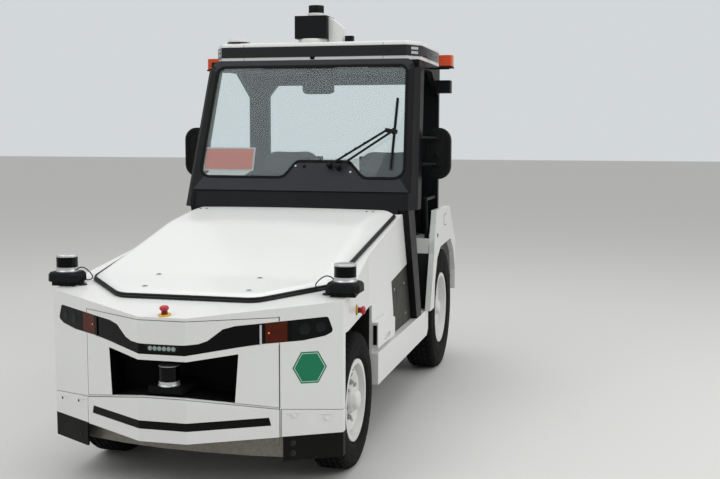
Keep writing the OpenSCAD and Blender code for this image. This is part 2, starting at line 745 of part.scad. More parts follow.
// Boxes on the sides above the sills, each with a grip pocket
module side_boxes() {
    y0 = arch_rear_y + 2;
    x0 = waist_x - mask_inset;
    both_sides() difference() {
        side_slab(x0, side_box_x, [[y0, sill_top + 20], [y0, 614], [y0 + 270, 610], [y0 + 400, 574],
            [y0 + 400, sill_top + 20]]);
        block([side_box_x - 14, y0 + 150, sill_top + 34], [side_box_x + 1, y0 + 290, sill_top + 60]);
    }
}
sill_x = 650;
module side_sills() {
    rear = riser_y - 40;
    color(white) {
        both_sides() difference() {
            side_slab(waist_x - 20, sill_x, [[arch_rear_y, sill_bottom], [arch_rear_y, sill_top],
                [rear, sill_top], [rear, sill_bottom + 30], [rear - 40, sill_bottom]]);
            block([0, arch_rear_y + 20, 0], [sill_x - panel_t, rear - 60, bearer_top - 80]);
        }
        side_boxes();
    }
}
module cab_floor() {
    w = waist_x - 20;
    color(cab_grey) {
        side_slab(-w, w, [[cowl_y, bearer_top], [cowl_y, cowl_low], [cowl_y + 6, cowl_low],
            [cowl_y + 6, floor_z + 160], [cowl_y + 120, floor_z], [riser_y + 6, floor_z], [riser_y + 6, bearer_top]]);
        block([-fender_in, riser_y, sill_top], [fender_in, riser_y + 6, platform_z - 93]);
        block([-w, riser_y, floor_z - 1], [w, riser_y + 6, sill_top + 1]);
    }
}

/* Cab */
screen_y = cowl_y + 68;
// Work in the windscreen's own plane: x across, y up the glass, z out of the cab
module on_screen() {
    translate([0, screen_y, glass_z]) rotate([90 - screen_rake, 0, 0]) children();
}
function screen_point_y(z) = screen_y + (z - glass_z) * tan(screen_rake);
hump = [[-101, 0], [-28, 98], [290, 98], [380, 0]];
function glass_outline(g) = let (k = g * tan(26)) rounded([
    [-glass_bottom_x - g, -g, 55 + g], [hump[0].x + k, -g, 50 + g], [hump[1].x + k, hump[1].y - g, 45 - g],
    [hump[2].x - k, hump[2].y - g, 45 - g], [hump[3].x - k, -g, 50 + g], [glass_bottom_x + g, -g, 55 + g],
    [glass_top_x + g, glass_h + g, 40 + g], [-glass_top_x - g, glass_h + g, 40 + g]]);
cowl_top = 1218;
cowl_low = 1060;
rail_h = 47;
frame_low = -86;
frame_high = glass_h + 47;
// Windscreen posts at both ends: distance up the glass, inner and outer half width
post_ends = [[-240, 634, 698], [frame_high + 30, 592, 650]];
post_d = 150;
module screen_header() {
    translate([0, 0, -110]) linear_extrude(84)
        polygon([[-590, glass_h + 18], [590, glass_h + 18], [590, frame_high - 6], [-590, frame_high - 6]]);
}
module windscreen_frame() {
    color(cab_grey) union() {
        on_screen() {
            translate([0, 0, -26]) linear_extrude(26) difference() {
                polygon(rounded([[-656, frame_low, 0], [656, frame_low, 0], [620, frame_high, 50],
                    [-620, frame_high, 50]]));
                polygon(glass_outline(14));
            }
            screen_header();
        }
        intersection() {
            both_sides() on_screen() hull() for (end = post_ends)
                translate([0, end[0], 0]) rotate([90, 0, 0]) linear_extrude(1)
                    polygon([[end[1], -8], [end[1] + 18, 0], [end[2], -44], [end[2], -post_d],
                        [end[1] + 20, -post_d], [end[1], -60]]);
            block([-far, 0, leg_top_z], [far, far, roof_z - rail_h]);
        }
        intersection() {
            side_slab(-650, 650, [[screen_point_y(cowl_top) + 10, cowl_top], [cowl_y + 4, cowl_low],
                [cowl_y + 50, cowl_low], [screen_point_y(cowl_top) + 50, cowl_top]]);
            union() {
                block([-590, 0, cowl_low], [590, far, far]);
                block([-far, 0, leg_top_z], [far, far, far]);
            }
        }
    }
}
module windscreen_seal() {
    color(black) on_screen() translate([0, 0, -16]) linear_extrude(19) difference() {
        polygon(glass_outline(14));
        polygon(glass_outline(-2));
    }
}
module windscreen() {
    color(clear_grey) on_screen() translate([0, 0, -12]) linear_extrude(6) polygon(glass_outline(-2));
}
module flat_bar(a, b, w, z0, z1) {
    d = b - a;
    translate([a.x, a.y, z0]) rotate([0, 0, atan2(d.y, d.x)]) translate([0, -w / 2, 0]) cube([norm(d), w, z1 - z0]);
}
wiper_pivots = [[177, 62], [230, 51]];
wiper_head = [[498, 276], [532, 270]];
module wiper() {
    color(black) on_screen() {
        for (k = [0, 1]) {
            translate([wiper_pivots[k].x, wiper_pivots[k].y, 0]) cylinder(r = 15, h = 30);
            flat_bar(wiper_pivots[k], wiper_head[k], 11, 18, 26);
        }
        flat_bar([484, 278.3], [556, 266.3], 22, 7, 19);
        flat_bar([534, 48], [541, 475], 13, -5.7, 9);
    }
}

column_tilt = 40;
wheel_hub = [-seat_x, cowl_y + 490, 1200];
column_l = 270;
module on_column() {
    translate(wheel_hub) rotate([-column_tilt, 0, 0]) children();
}
// Dashboard with the steering column standing out of it
module dashboard() {
    y = cowl_y + 6;
    color(cab_grey) difference() {
        union() {
            side_slab(-590, 590, [[y, 860], [y, 1055], [y + 50, 1055], [y + 50, 1070], [y + 98, 1200],
                [y + 250, 1200], [y + 315, 1110], [y + 300, 980], [y + 170, 860]]);
            on_column() translate([0, 0, -column_l]) cylinder(r = 34, h = column_l - 24);
        }
        on_column() translate([0, 0, -60]) cylinder(r = 12 + hub_play, h = 100);
    }
}
module steering_wheel() {
    rim_t = 13;
    color(black) on_column() {
        rotate_extrude() translate([steering_wheel_r - rim_t, 0]) circle(r = rim_t);
        translate([0, 0, -22]) cylinder(r = 40, h = 34);
        translate([0, 0, -59]) cylinder(r = 12, h = 38);
        for (k = [0:2]) rotate([0, 0, 90 + 120 * k]) translate([36, -12, -6]) cube([steering_wheel_r - rim_t - 40, 24, 9]);
    }
}
rear_frame_y = riser_y + 310;
module seats() {
    color(black) both_sides() {
        side_slab(seat_x - seat_w / 2, seat_x + seat_w / 2, rounded([[riser_y - 60, platform_z + 20, 20],
            [riser_y - 66, platform_z + 95, 34], [rear_frame_y - 75, platform_z + 95, 0],
            [rear_frame_y - 45, platform_z + 510, 18], [rear_frame_y - 4, platform_z + 510, 14],
            [rear_frame_y - 4, platform_z, 0], [riser_y + 40, platform_z, 0], [riser_y + 10, platform_z + 20, 0]]));
    }
}
module cab_frame() {
    half = waist_x + 22;
    window = both_halves([[0, platform_z + 300], [507, platform_z + 300], [507, 1790], [450, 1860], [0, 1860]]);
    color(black) {
        both_sides() side_slab(waist_x - 26, sill_x, [[leg_y(sill_top), sill_top],
            [leg_y(leg_top_z), leg_top_z], [leg_y(leg_top_z) + leg_w, leg_top_z],
            [leg_y(sill_top) + leg_w * 0.8, sill_top]]);
        difference() {
            block([-half, rear_frame_y, platform_z], [half, rear_frame_y + 45, roof_z - rail_h]);
            front_slab(rear_frame_y - 1, rear_frame_y + 46, window);
        }
        both_sides() side_slab(half - 34, half, [[rear_frame_y, 1780], [rear_frame_y - 250, roof_z - rail_h],
            [rear_frame_y, roof_z - rail_h]]);
        both_sides() block([roof_x - 46, screen_point_y(roof_z) + 30, roof_z - rail_h],
            [roof_x + 2, rear_frame_y + 45, roof_z]);
    }
}
module grab_rails() {
    r = 14;
    foot = [622, riser_y + 40, platform_z];
    elbow = [622, riser_y - 20, 1150];
    color(black) both_sides() {
        difference() {
            bar(foot - [0, 0, 20], elbow, r);
            block([0, 0, 0], [far, far, platform_z]);
        }
        rod_y(elbow.y - 4, rear_frame_y, r - 3, elbow.x, elbow.z - 12);
    }
}
fascia_front_y = screen_point_y(roof_z) + 18;
fascia_rear_y = rear_frame_y + 60;
function roof_outline(d) = rounded([[-roof_x + d, fascia_rear_y - d, 40], [-roof_x + d, fascia_front_y + d, 46],
    [roof_x - d, fascia_front_y + d, 46], [roof_x - d, fascia_rear_y - d, 40]]);
band_z = roof_z + 23;
band_top = band_z + fascia_h;
module roof_fascia() {
    color(black) difference() {
        plan_slab(band_z, band_top, roof_outline(0));
        plan_slab(0, far * 2, roof_outline(20));
    }
}
roof_wall = 60;
roof_skin = 12;
roof_cap_h = 26;
module roof_panel() {
    color(white) {
        difference() {
            union() {
                plan_slab(roof_z, band_z, roof_outline(4));
                plan_slab(band_z, band_top, roof_outline(20));
            }
            block([-roof_x + roof_wall, fascia_front_y + roof_wall, 0],
                [roof_x - roof_wall, fascia_rear_y - roof_wall, band_top - roof_skin]);
        }
        plan_slab(band_top, band_top + roof_cap_h, roof_outline(6));
    }
}
roof_top = band_top + roof_cap_h;
sensor_box_y = fascia_front_y + 120;
sensor_box = [-20, sensor_box_y, roof_top];
// Black sensor box with the spinning sensor's housing on top, the small camera and the loudspeaker
module roof_sensor() {
    color(black) {
        translate(sensor_box) {
            block([-99, -85, 22], [99, 85, 156]);
            translate([11, 0, 176]) cylinder(r = 46, h = 46);
        }
        block([184, sensor_box_y - 60, roof_top], [232, sensor_box_y - 20, roof_top + 36]);
        block([waist_x + 22, rear_frame_y - 90, 1800], [waist_x + 110, rear_frame_y - 10, 1880]);
    }
}
// White plinth, collar and side bracket of the roof sensor, and the antenna dome
module roof_brackets() {
    color(white) {
        translate(sensor_box) {
            cylinder(r = 96, h = 22);
            translate([11, 0, 156]) cylinder(r = 52, h = 20);
        }
        front_slab(sensor_box_y - 40, sensor_box_y + 40, [[79, roof_top], [170, roof_top],
            [170, roof_top + 82], [86, roof_top + 150], [79, roof_top + 150]]);
        translate([-488, fascia_front_y + 75, roof_top]) cylinder(r = 66, h = 26);
    }
}
module beacons() {
    y = rear_frame_y - 340;
    color(amber) both_sides() {
        block([roof_x + 66, y - 40, roof_z - 26], [roof_x + 146, y + 40, roof_z + 44]);
        block([roof_x + 2, y - 12, roof_z - 40], [roof_x + 130, y + 12, roof_z - 26]);
    }
}
mirror_z = 1428;
module mirrors() {
    y = screen_point_y(mirror_z) + 240;
    color(black) both_sides() {
        front_slab(y, y + 46, rounded([for (p = [[-75, -150], [75, -150], [75, 150], [-75, 150]])
            [752 + p.x, mirror_z + p.y, 74]]));
        difference() {
            for (z = [mirror_z - 60, mirror_z + 90]) bar([656, y - 110, z], [752, y + 10, z], 9);
            on_screen() translate([0, 0, -far]) linear_extrude(far) polygon([for (end = post_ends) each
                end[0] < 0 ? [[0, end[0] - 1], [end[2], end[0] - 1]] : [[end[2], end[0]], [0, end[0]]]]);
        }
    }
    inner_y = screen_point_y(1900);
    color(black) difference() {
        union() {
            block([-60, inner_y + 54, 1786], [126, inner_y + 80, 1898]);
            block([20, inner_y + 57, 1890], [46, inner_y + 77, 1940]);
        }
        on_screen() screen_header();
    }
}

/* Rear body */
module rear_body() {
    y = rear_axle_y;
    arch = [[y - 425, 0], [y - 425, 440], [y - 400, 620], [y - 320, 760], [y - 200, 822], [y + 200, 838],
        [y + 340, 740], [y + 412, 600], [y + 415, 0]];
    color(white) {
        both_sides() difference() {
            side_slab(fender_in, fender_out, [[riser_y - 130, sill_top], [riser_y - 5, platform_z - 93],
                [riser_y, platform_z], [riser_y + 70, 1066], [y + 140, 1062], [y + 420, 800],
                [y + 430, 580], [y + 405, 410], [y + 405, sill_top]]);
            side_slab(0, far, arch);
        }
        both_sides() difference() {
            side_slab(440, fender_in, [[riser_y + 6, 560], [riser_y + 6, platform_z - 12],
                [y + 430, platform_z - 12], [y + 430, 560]]);
            side_slab(450, far, [[riser_y + 18, 0], [riser_y + 18, platform_z - 24], [y + 418, platform_z - 24],
                [y + 418, 0]]);
        }
        block([-fender_in, riser_y, platform_z - 12], [fender_in, y + 440, platform_z]);
        block([-fender_in, riser_y, platform_z - 93], [fender_in, riser_y + 12, platform_z - 12]);
        difference() {
            block([-fender_in, y + 430, 560], [fender_in, y + 440, platform_z - 12]);
            block([-rail_out - 2, y + 429, 559], [rail_out + 2, y + 441, rail_top + rail_kick + 2]);
        }
    }
}
module rear_lamps() {
    y = rear_axle_y + 440;
    color("firebrick") both_sides() block([530, y, 700], [630, y + 16, 790]);
}
module tow_coupling() {
    y0 = rail_end_y + plate_t;
    pin_y = rear_y - 45;
    color(steel) difference() {
        union() {
            block([-90, y0, tow_z - 80], [90, y0 + 14, tow_z + 80]);
            for (z = [tow_z - tow_jaw_gap / 2 - 22, tow_z + tow_jaw_gap / 2]) plan_slab(z, z + 22, rounded([
                [-60, y0 + 14, 0], [-60, rear_y, 40], [60, rear_y, 40], [60, y0 + 14, 0]]));
        }
        translate([0, pin_y, 0]) cylinder(r = tow_pin_r, h = far);
    }
}

chassis_frame();
battery_block();
drive_unit();
rear_axle();
front_axle_beam();
leaf_springs();
knuckle();  // knuckle_left
mirror([1, 0, 0]) knuckle();  // knuckle_right
tie_rod();
front_tyre_at(front_wheel_x);  // tyre_front_left
front_rim();  // rim_front_left
front_tyre_at(-front_wheel_x);  // tyre_front_right
mirror([1, 0, 0]) front_rim();  // rim_front_right
rear_tyre_at(rear_wheel_x);  // tyre_rear_left
rear_rim();  // rim_rear_left
rear_tyre_at(-rear_wheel_x);  // tyre_rear_right
mirror([1, 0, 0]) rear_rim();  // rim_rear_right
front_body();
front_mask();
front_bumper();
rubber_trim();
under_plate();
lamp_band();
turn_signals();
headlamps();
grille_box();
grille_sensor();
corner_sensors();
corner_sensor_mounts();
sensor_leads();
emergency_buttons();
hood();
hood_seal();
hood_hinges();
arch_liners();
side_panels();
side_sills();
cab_floor();
windscreen_frame();
windscreen_seal();
windscreen();
wiper();
cab_frame();
dashboard();
steering_wheel();
seats();
grab_rails();
roof_panel();
roof_fascia();
roof_sensor();
roof_brackets();
beacons();
mirrors();
rear_body();
rear_lamps();
tow_coupling();
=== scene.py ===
"""Looks of an airport baggage tug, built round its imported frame. All lengths are in metres."""

import logging
from dataclasses import dataclass
from enum import Enum
from math import copysign, cos, exp, floor, pi, radians, sin, tan
from typing import Callable, Iterable, Optional, Sequence

import bmesh
import bpy
from mathutils import Matrix, Vector
from mathutils.bvhtree import BVHTree


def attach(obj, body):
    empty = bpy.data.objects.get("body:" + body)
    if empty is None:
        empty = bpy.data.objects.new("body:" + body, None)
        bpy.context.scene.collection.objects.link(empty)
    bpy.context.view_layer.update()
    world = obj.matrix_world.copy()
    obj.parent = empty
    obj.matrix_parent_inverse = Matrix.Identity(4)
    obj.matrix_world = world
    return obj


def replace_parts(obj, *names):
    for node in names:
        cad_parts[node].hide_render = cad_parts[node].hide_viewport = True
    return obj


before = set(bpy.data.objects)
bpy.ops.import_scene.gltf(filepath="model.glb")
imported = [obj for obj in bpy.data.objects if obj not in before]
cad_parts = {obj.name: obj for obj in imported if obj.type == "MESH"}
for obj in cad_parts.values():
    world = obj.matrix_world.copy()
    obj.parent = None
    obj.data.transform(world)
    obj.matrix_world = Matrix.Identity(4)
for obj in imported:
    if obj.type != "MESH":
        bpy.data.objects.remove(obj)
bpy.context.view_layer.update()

LOG = logging.getLogger("baggage_tug")
MM = 0.001
Pair = tuple[float, float]
Triple = tuple[float, float, float]
Outline = Sequence[Pair]
Point = Sequence[float]
Mesh = bmesh.types.BMesh
Tree = bpy.types.NodeTree
Socket = bpy.types.NodeSocket
Piece = bpy.types.Object
# Sizes of the patterns that several finishes share, in millimetres
SPANGLE_MM = 14
DUST_PATCH_MM = 60
SMEAR_MM = 90
CHASSIS = "chassis"


class Side(Enum):
    """Sides of the tug, seen from the driver."""

    LEFT = 1
    RIGHT = -1

    @property
    def word(self) -> str:
        """Gives the side's word in the names of pieces and nodes."""
        return self.name.lower()


class Pattern(Enum):
    """Surface structures that a finish can carry."""

    PLAIN = "plain"
    SPANGLE = "spangle"
    RIBS = "ribs"
    CHEQUER = "chequer"


def linear(code: str) -> tuple[float, float, float, float]:
    """Turns an sRGB hex colour into linear red, green, blue and alpha.

    Args:
        code: Colour as "#rrggbb".

    Returns:
        Linear components with an alpha of 1.
    """
    values = [int(code[i : i + 2], 16) / 255 for i in (1, 3, 5)]
    return tuple(v / 12.92 if v <= 0.04045 else ((v + 0.055) / 1.055) ** 2.4 for v in values) + (1.0,)


def add_node(tree: Tree, kind: str, settings: dict, links: dict) -> bpy.types.Node:
    """Adds one shader node.

    Args:
        tree: Node tree that takes the node.
        kind: Blender's type name of the node.
        settings: Input names or numbers with their values, or attribute names with theirs.
        links: Input names or numbers with the output sockets that feed them.

    Returns:
        The new node.
    """
    node = tree.nodes.new(kind)
    for key, value in settings.items():
        if isinstance(key, int) or key in node.inputs:
            node.inputs[key].default_value = value
        else:
            setattr(node, key, value)
    for key, socket in links.items():
        tree.links.new(socket, node.inputs[key])
    return node


def noise(tree: Tree, place: Socket, size_mm: float, detail: float, roughness: float = 0.5) -> Socket:
    """Adds a noise of a size in millimetres and gives its value from 0 to 1."""
    settings = {"Scale": 1 / (size_mm * MM), "Detail": detail, "Roughness": roughness}
    return add_node(tree, "ShaderNodeTexNoise", settings, {"Vector": place}).outputs["Fac"]


def ranged(tree: Tree, value: Socket, low: float, high: float) -> Socket:
    """Maps a value from 0 to 1 onto another range."""
    return add_node(tree, "ShaderNodeMapRange", {"To Min": low, "To Max": high}, {0: value}).outputs[0]


def blend(tree: Tree, settings: dict, links: dict) -> Socket:
    """Mixes two colours: input 0 is the share, inputs 6 and 7 are the colours."""
    return add_node(tree, "ShaderNodeMix", {"data_type": "RGBA", **settings}, links).outputs[2]


@dataclass(frozen=True)
class Finish:
    """A surface finish, and how it is drawn.

    Pattern sizes are in millimetres on the real object.
    """

    name: str
    colour: str
    roughness: float
    metallic: float = 0.0
    ior: float = 1.5
    specular: float = 0.5
    coat: float = 0.0
    clear: bool = False
    glow: float = 0.0
    mottle_mm: float = 180.0
    mottle: float = 0.05
    grain_mm: float = 2.0
    relief_mm: float = 0.0
    pattern: Pattern = Pattern.PLAIN
    dust: float = 0.0
    dust_top: float = 0.55
    dust_colour: str = "#8b8577"

    def build(self) -> bpy.types.Material:
        """Makes the material, once for each finish.

        Returns:
            The material, with its pattern, mottling and dust as nodes.
        """
        if self.name in bpy.data.materials:
            return bpy.data.materials[self.name]
        material = bpy.data.materials.new(self.name)
        material.use_nodes = True
        tree = material.node_tree
        if self.clear:
            self._pane(tree)
            return material
        shader = tree.nodes["Principled BSDF"]
        shader.inputs["Metallic"].default_value = self.metallic
        shader.inputs["Coat Weight"].default_value = self.coat
        shader.inputs["Coat Roughness"].default_value = 0.08
        if self.metallic < 0.5:
            shader.inputs["IOR"].default_value = self.ior
            shader.inputs["Specular IOR Level"].default_value = self.specular
        if self.glow:
            shader.inputs["Emission Color"].default_value = linear(self.colour)
            shader.inputs["Emission Strength"].default_value = self.glow
        place = add_node(tree, "ShaderNodeTexCoord", {}, {}).outputs["Object"]
        colour = self._colour(tree, place)
        tree.links.new(colour, shader.inputs["Base Color"])
        self._roughness(tree, place, shader)
        self._relief(tree, place, shader)
        material.diffuse_color = linear(self.colour)
        return material

    def _pane(self, tree: Tree) -> None:
        """Draws a clear pane: its tint straight on, a mirror at a slant, and a thin pale diffuse veil over
        it.

        Args:
            tree: Node tree of the material.
        """
        tree.nodes.clear()
        through = add_node(tree, "ShaderNodeBsdfTransparent", {"Color": linear(self.colour)}, {}).outputs[0]
        gloss = add_node(tree, "ShaderNodeBsdfGlossy", {"Roughness": self.roughness}, {}).outputs[0]
        slant = add_node(tree, "ShaderNodeFresnel", {"IOR": self.ior}, {}).outputs[0]
        clean = add_node(tree, "ShaderNodeMixShader", {}, {0: slant, 1: through, 2: gloss}).outputs[0]
        # A thin pale diffuse veil lies over the pane; the finish's dust amount and colour set its share and
        # colour
        veil_layer = add_node(tree, "ShaderNodeBsdfDiffuse", {"Color": linear(self.dust_colour)}, {}).outputs[0]
        veiled_pane = add_node(tree, "ShaderNodeMixShader", {0: self.dust}, {1: clean, 2: veil_layer}).outputs[0]
        add_node(tree, "ShaderNodeOutputMaterial", {}, {0: veiled_pane})

    def _colour(self, tree: Tree, place: Socket) -> Socket:
        """Draws the slow colour variation and the dust near the ground.

        Args:
            tree: Node tree of the material.
            place: Coordinates in metres.

        Returns:
            Socket with the colour.
        """
        base = linear(self.colour)
        dark = tuple(c * (1 - self.mottle) for c in base[:3]) + (1.0,)
        light = tuple(min(1.0, c * (1 + self.mottle)) for c in base[:3]) + (1.0,)
        mixed = blend(tree, {6: dark, 7: light}, {0: noise(tree, place, self.mottle_mm, 4.0, 0.6)})
        if self.pattern is Pattern.SPANGLE:
            # Each zinc crystal has a shade of its own
            cells = add_node(tree, "ShaderNodeTexVoronoi", {"Scale": 1 / (SPANGLE_MM * MM)},
                             {"Vector": place})
            crystal = add_node(tree, "ShaderNodeSeparateColor", {}, {0: cells.outputs["Color"]}).outputs[0]
            mixed = blend(tree, {"blend_type": "MULTIPLY", 0: 1.0},
                          {6: mixed, 7: ranged(tree, crystal, 0.86, 1.12)})
        if not self.dust:
            return mixed
        height = add_node(tree, "ShaderNodeSeparateXYZ", {}, {0: place}).outputs["Z"]
        limits = {"From Min": 0.0, "From Max": self.dust_top, "To Min": self.dust, "To Max": 0.0}
        fade = add_node(tree, "ShaderNodeMapRange", limits, {0: height}).outputs[0]
        # Road dust lies in patches that are broken up by specks of a few millimetres
        patch = noise(tree, place, DUST_PATCH_MM, 8.0, 0.7)
        amount = add_node(tree, "ShaderNodeMath", {"operation": "MULTIPLY"}, {0: fade, 1: patch}).outputs[0]
        return blend(tree, {7: linear(self.dust_colour)}, {0: amount, 6: mixed})

    def _roughness(self, tree: Tree, place: Socket, shader: bpy.types.Node) -> None:
        """Lets the gloss vary a little over the surface, as handling leaves it.

        Args:
            tree: Node tree of the material.
            place: Coordinates in metres.
            shader: Principled shader.
        """
        low, high = max(0.02, self.roughness * 0.82), min(1.0, self.roughness * 1.2)
        level = ranged(tree, noise(tree, place, SMEAR_MM, 5.0), low, high)
        tree.links.new(level, shader.inputs["Roughness"])

    def _relief(self, tree: Tree, place: Socket, shader: bpy.types.Node) -> None:
        """Adds the relief of the pattern, if the finish has one.

        Args:
            tree: Node tree of the material.
            place: Coordinates in metres.
            shader: Principled shader.
        """
        if not self.relief_mm:
            return
        scale = 1 / (self.grain_mm * MM)
        if self.pattern is Pattern.RIBS:
            # A wave's band is 0.314 units wide at a scale of 1
            settings = {"Scale": 0.314 * scale, "bands_direction": "X"}
            height = add_node(tree, "ShaderNodeTexWave", settings, {"Vector": place}).outputs["Fac"]
        elif self.pattern is Pattern.CHEQUER:
            tiles = add_node(tree, "ShaderNodeTexVoronoi", {"Scale": scale}, {"Vector": place})
            height = tiles.outputs["Distance"]
        else:
            height = noise(tree, place, self.grain_mm, 3.0)
        settings = {"Strength": 1.0, "Distance": self.relief_mm * MM}
        bump = add_node(tree, "ShaderNodeBump", settings, {"Height": height})
        tree.links.new(bump.outputs[0], shader.inputs["Normal"])


# Baked enamel on pressed steel: cool white, high gloss, a faint ripple from the spray gun
WHITE_ENAMEL = Finish("white_enamel_on_steel", "#dcdddb", 0.3, specular=0.4, coat=0.18, mottle=0.014,
                      mottle_mm=420, grain_mm=9, relief_mm=0.01, dust=0.16, dust_top=0.5)
# The same enamel on the wheels, dulled by brake dust
WHEEL_ENAMEL = Finish("white_enamel_on_wheel_discs", "#dcdddb", 0.38, coat=0.1, mottle=0.05, mottle_mm=50,
                      dust=0.35, dust_top=1.0)
# Powder coat on the cab: dark blue-grey, satin, with the coat's fine orange peel
CAB_POWDER = Finish("grey_powder_coat", "#282a2f", 0.46, specular=0.2, mottle=0.05, grain_mm=1.6,
                    relief_mm=0.02)
# Black powder coat on posts and brackets
BLACK_POWDER = Finish("black_powder_coat", "#0c0d0f", 0.42, specular=0.14, mottle=0.08, grain_mm=1.6,
                      relief_mm=0.02)
# The cowl band below the screen, drawn nearly black, darker than the frame
NEARLY_BLACK_COWL_BAND = Finish("nearly_black_cowl_band", "#121316", 0.44, specular=0.14, mottle=0.06, grain_mm=1.6,
                     relief_mm=0.02)
# Chassis paint, thick and dull, with road dust on it
CHASSIS_PAINT = Finish("black_chassis_paint", "#151617", 0.62, specular=0.25, mottle=0.12, grain_mm=4,
                       relief_mm=0.05, dust=0.22, dust_top=0.9)
# Grey paint on the battery box, brushed on and dull
BATTERY_PAINT = Finish("grey_battery_box_paint", "#4d4f4d", 0.55, specular=0.3, mottle=0.06, dust=0.2,
                       dust_top=1.0)
# Cast steel with its skin on: rough, dark, greasy
CAST_STEEL = Finish("cast_steel_with_mill_skin", "#3b3c3e", 0.55, metallic=0.7, mottle=0.18, mottle_mm=25,
                    grain_mm=3, relief_mm=0.12, dust=0.25)
# Hot-dip galvanised sheet under the nose, warm with road dirt
GALVANISED = Finish("galvanised_steel_sheet", "#7c786f", 0.4, metallic=0.6, mottle=0.1,
                    pattern=Pattern.SPANGLE, dust=0.3, dust_top=0.5)
# Zinc plating on screws: bright, with a grey bloom
ZINC_SCREW = Finish("zinc_plated_screws", "#a9abad", 0.32, metallic=0.95, mottle=0.08, mottle_mm=6)
# Blackened screws of the skirts; on the right lamp divider the same finish is painted shade
DARK_SCREW_AND_DIVIDER_SHADE = Finish("blackened_screws_and_divider_shade", "#2a2b2d", 0.34, metallic=0.8, mottle=0.1, mottle_mm=6)
# Anodised aluminium of the sensors: pale, fine turning lines
ALUMINIUM = Finish("turned_anodised_aluminium", "#c9cbcc", 0.38, metallic=0.8, mottle=0.03, mottle_mm=30,
                   grain_mm=0.8, relief_mm=0.01)
# Carbon-filled tyre rubber: blue-black, dull, grey where the road has scuffed it
TYRE_RUBBER = Finish("tyre_rubber", "#0c0c0d", 0.8, specular=0.12, mottle=0.2, mottle_mm=22, grain_mm=1.4,
                     relief_mm=0.08, dust=0.09, dust_top=0.9, dust_colour="#5c5852")
# Extruded rubber: black with a soft shine along its folds
SEAL_RUBBER = Finish("extruded_seal_rubber", "#0e0f10", 0.45, specular=0.3, mottle=0.1, grain_mm=1.5,
                     relief_mm=0.03)
# Rubber skirts at the corners, slightly shiny from moulding
SKIRT_RUBBER = Finish("moulded_skirt_rubber", "#0a0b0b", 0.5, specular=0.1, mottle=0.1, grain_mm=2,
                      relief_mm=0.03, dust=0.05, dust_top=0.4)
# Smoked polycarbonate of the lamp band, deep black and glossy
SMOKED_LENS = Finish("smoked_polycarbonate", "#040405", 0.12, ior=1.585, specular=0.09, mottle=0.1)
# Clear cover of the headlamps: a dark, wet-looking mirror
HEADLAMP_LENS = Finish("headlamp_polycarbonate", "#050607", 0.08, ior=1.585, specular=0.1, mottle=0.15,
                       mottle_mm=40)
# Lamp reflectors seen through the smoked cover: only a dim ring of them shows
LAMP_RING = Finish("dim_lamp_reflector", "#15171a", 0.25, specular=0.15, mottle=0.1, mottle_mm=10)
# Small lamp optics: pale green glints
LED_CHIP = Finish("led_optic_clear_acrylic", "#8c9a94", 0.14, ior=1.49, specular=0.4, mottle=0.3, mottle_mm=6)
# Amber acrylic behind the smoked cover: dark brown-red from the cover, darkened further with painted shade;
# ribbed, with a painted highlight near its edge
AMBER_LENS = Finish("amber_acrylic_lens", "#4a1a0a", 0.14, ior=1.49, specular=0.12, mottle=0.35, mottle_mm=26,
                    pattern=Pattern.RIBS, grain_mm=6, relief_mm=0.5)
# Painted highlight: a small glowing glint on the amber signal's lens
AMBER_GLINT = Finish("amber_lens_painted_glint", "#e8641e", 0.2, ior=1.49, glow=0.5, mottle=0.2, mottle_mm=10)
# Beacon dome: orange, ribbed, bright where light comes through
BEACON_LENS = Finish("amber_beacon_lens", "#c9481a", 0.16, ior=1.49, specular=0.4, coat=0.1, glow=0.08,
                     mottle=0.2, mottle_mm=22, pattern=Pattern.RIBS, grain_mm=7, relief_mm=0.5)
# Rear lamp lens: deep red with fine ribs
RED_LENS = Finish("red_acrylic_lens", "#7d1210", 0.14, ior=1.49, specular=0.4, mottle=0.15, mottle_mm=18,
                  pattern=Pattern.RIBS, grain_mm=6, relief_mm=0.4)
# Moulded buttons: saturated, semi-gloss
RED_BUTTON = Finish("red_moulded_button", "#b01f2b", 0.3, specular=0.4, coat=0.1, mottle=0.05, mottle_mm=10)
# Button stem: red, darkened with painted shade from its head
PAINTED_SHADE_RED_STEM = Finish("dark_red_moulded_stem", "#6d141b", 0.4, specular=0.3, mottle=0.06, mottle_mm=10)
# Warning yellow of the button's collar, semi-gloss
YELLOW_COLLAR = Finish("yellow_moulded_collar", "#d9ab2c", 0.4, specular=0.3, mottle=0.05, mottle_mm=10)
# Moulded ABS with a fine leather grain
GRAINED_ABS = Finish("grained_black_abs", "#0f1012", 0.5, specular=0.15, mottle=0.06, grain_mm=1.2,
                     relief_mm=0.06)
# Lining of the grille, matt so that nothing shines in it
GRILLE_ABS = Finish("matt_black_abs", "#0a0a0b", 0.7, specular=0.12, mottle=0.06, grain_mm=1.2,
                    relief_mm=0.06)
# Roof band: near black, with soft reflections of the sky
GLOSS_ABS = Finish("gloss_black_abs", "#16171a", 0.22, specular=0.35, coat=0.15, mottle=0.06)
# Sensor window: black, lets only infrared through
SENSOR_WINDOW = Finish("sensor_window_plastic", "#030304", 0.1, ior=1.585, specular=0.1, mottle=0.05)
# Recycled polypropylene of the wheel-arch liners, scuffed by stones
LINER_PLASTIC = Finish("black_liner_polypropylene", "#151614", 0.62, specular=0.12, mottle=0.1, grain_mm=5,
                       relief_mm=0.06, dust=0.1, dust_top=0.9)
# Dull olive paint of the side panels
OLIVE_PAINT = Finish("dark_olive_paint", "#302f29", 0.5, specular=0.18, mottle=0.06, grain_mm=2,
                     relief_mm=0.02)
# Cab floor: black rubber with raised studs
CHEQUER_PLATE = Finish("rubbered_floor_plate", "#1b1c1e", 0.6, specular=0.25, mottle=0.12,
                       pattern=Pattern.CHEQUER, grain_mm=28, relief_mm=1.2)
